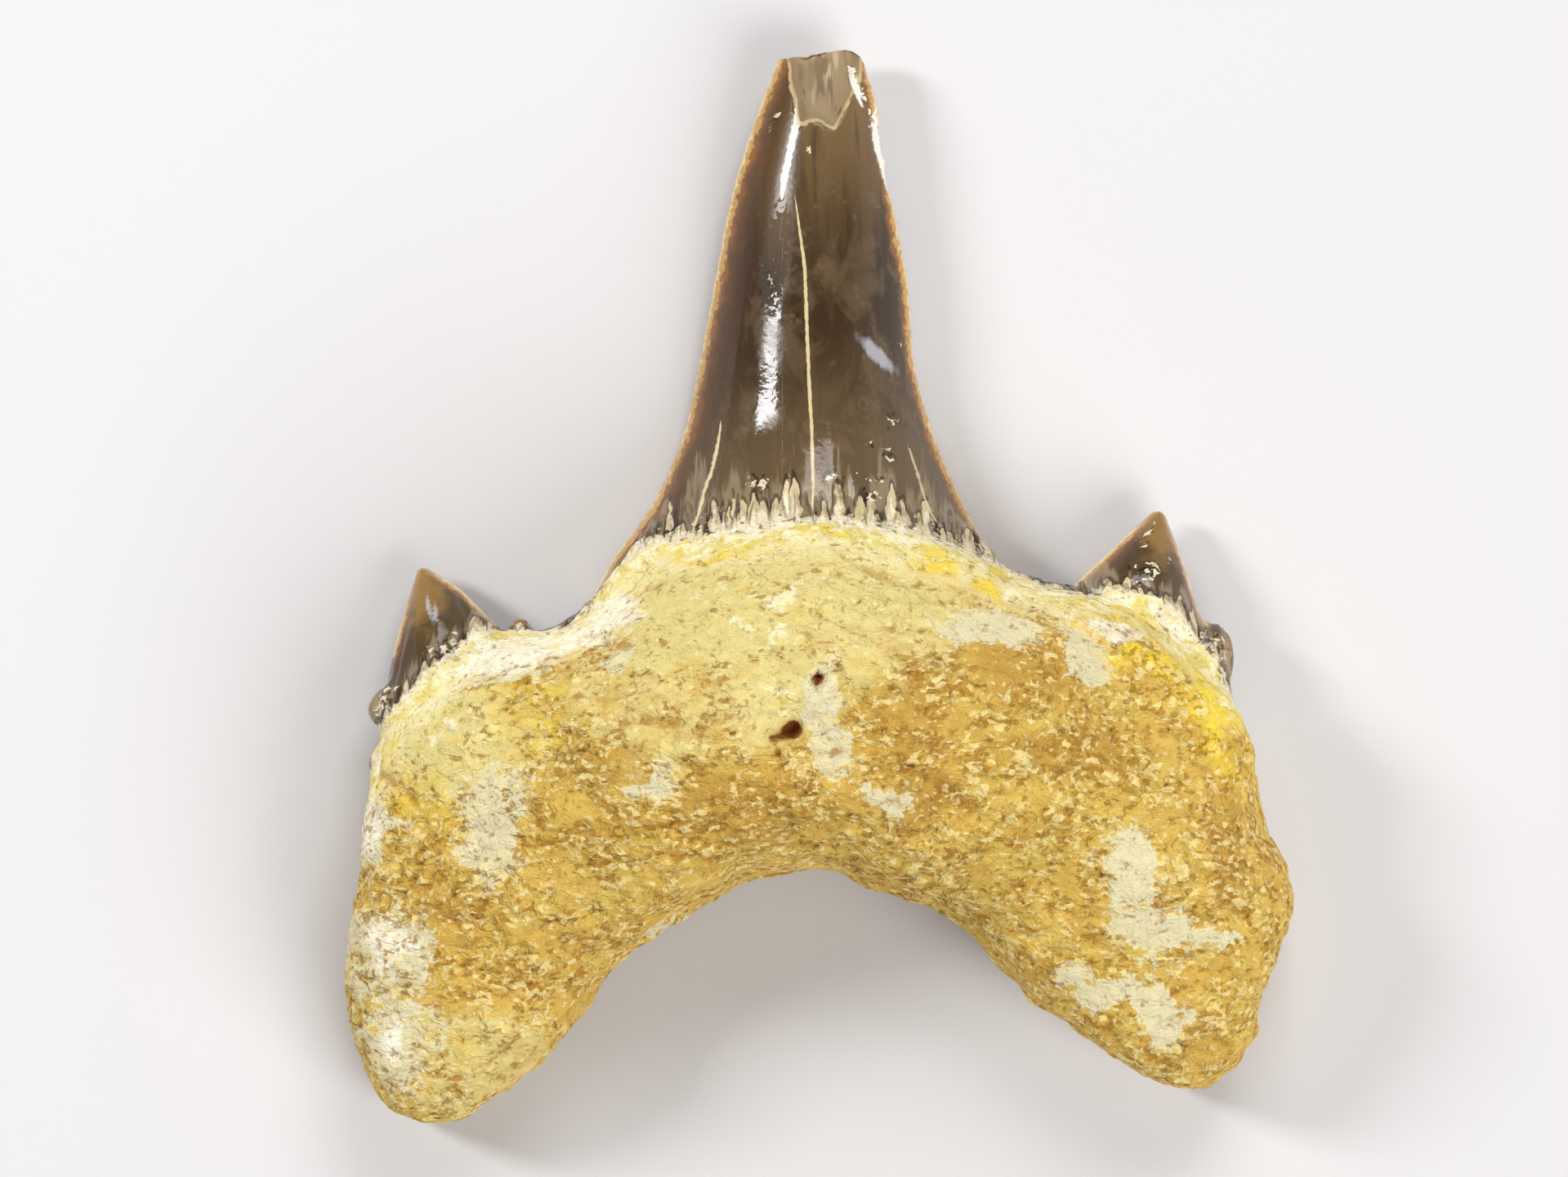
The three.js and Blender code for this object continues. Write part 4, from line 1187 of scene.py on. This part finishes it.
# %% Shader
shader = {
    "Base Color": colour.outputs[2],
    "Roughness": gloss,
    "Normal": bump.outputs["Normal"],
    "IOR": 1.55,
    "Specular IOR Level": 0.3,
    "Metallic": 0.0,
}
surface = add(tree, "ShaderNodeBsdfPrincipled", shader)
add(tree, "ShaderNodeOutputMaterial", {"Surface": surface.outputs["BSDF"]})
print("nodes in the material:", len(tree.nodes))
skin.materials.clear()
skin.materials.append(material)
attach(tooth, "root")
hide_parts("tooth")

# %% [markdown]
# ## Floor, light and camera
# The specimen lies on white card in a light tent. A large soft light stands beyond the tip, and a larger
# one fills in from the lower right. A narrow one at the left draws the bright streak down the cusp, and
# the white walls of the tent do the rest.

# %% Floor
FLOOR_HALF = 1.2
CARD_ROUGHNESS = 0.9
corners = [(x * FLOOR_HALF, y * FLOOR_HALF, 0) for x, y in ((-1, -1), (1, -1), (1, 1), (-1, 1))]
floor = object_from("white_card", corners, [(0, 1, 2, 3)])
card = bpy.data.materials.new("White matt card")
card.use_nodes = True
card_shader = card.node_tree.nodes["Principled BSDF"]
card_shader.inputs["Base Color"].default_value = linear("#d7d5d6")
card_shader.inputs["Roughness"].default_value = CARD_ROUGHNESS
floor.data.materials.append(card)
print("floor, m:", np.round(floor.dimensions, 2))

# %% Lights: place and size in metres, power in watts
LIGHTS = {
    "window": ((0.08, 0.34, 0.34), (0.24, 0.24), 1.34),
    "fill": ((0.27, -0.28, 0.33), (0.34, 0.34), 2.0),
    "streak": ((-0.25, 0.095, 0.217), (0.055, 0.11), 0.66),
}
for name, (at, size, power) in LIGHTS.items():
    lamp = bpy.data.lights.new(name, "AREA")
    lamp.shape = "RECTANGLE"
    lamp.size, lamp.size_y = size
    lamp.energy = power
    lamp_object = bpy.data.objects.new(name, lamp)
    lamp_object.location = at
    aim = -np.array(at) / np.linalg.norm(at)
    lamp_object.rotation_euler = (np.arccos(-aim[2]), 0, np.arctan2(-aim[0], aim[1]))
    bpy.context.scene.collection.objects.link(lamp_object)
print("lights, W:", {name: power for name, (at, size, power) in LIGHTS.items()})

# %% Walls of the tent: bright low down and at the right, darker overhead and at the left
world = bpy.data.worlds.new("tent")
world.use_nodes = True
sky = world.node_tree
direction = add(sky, "ShaderNodeTexCoord").outputs["Generated"]
split = add(sky, "ShaderNodeSeparateXYZ", {0: direction})
sideways, upward = split.outputs["X"], split.outputs["Z"]
walls = {"Value": upward, "From Min": 0.05, "From Max": 0.65, "To Min": 0.85, "To Max": 0.14}
walls = add(sky, "ShaderNodeMapRange", walls, interpolation_type="SMOOTHSTEP").outputs["Result"]
sides = {"Value": sideways, "From Min": -1.0, "From Max": 1.0, "To Min": 0.4, "To Max": 1.15}
sides = add(sky, "ShaderNodeMapRange", sides).outputs["Result"]
walls = add(sky, "ShaderNodeMath", {0: walls, 1: sides}, operation="MULTIPLY").outputs[0]
sky.links.new(walls, sky.nodes["Background"].inputs["Strength"])
sky.nodes["Background"].inputs["Color"].default_value = linear("#fffcf8")
bpy.context.scene.world = world
bpy.context.scene.view_settings.view_transform = "Standard"
print("nodes in the tent:", len(sky.nodes))

# %% Camera straight above, framed as the photograph, in millimetres
FRAME_WIDTH = 58.82
FRAME_MIDDLE = (-1.318, -0.169)
SHARP_HEIGHT = 3.0
LENS = 200.0
camera_data = bpy.data.cameras.new("camera")
camera_data.lens = LENS
camera_data.sensor_width = 36.0
camera_data.clip_start = 0.01
camera = bpy.data.objects.new("camera", camera_data)
distance = FRAME_WIDTH * LENS / camera_data.sensor_width
camera.location = (FRAME_MIDDLE[0] * MM, FRAME_MIDDLE[1] * MM, (distance + SHARP_HEIGHT) * MM)
bpy.context.scene.collection.objects.link(camera)
bpy.context.scene.camera = camera
print("camera, m:", np.round(camera.location, 3))
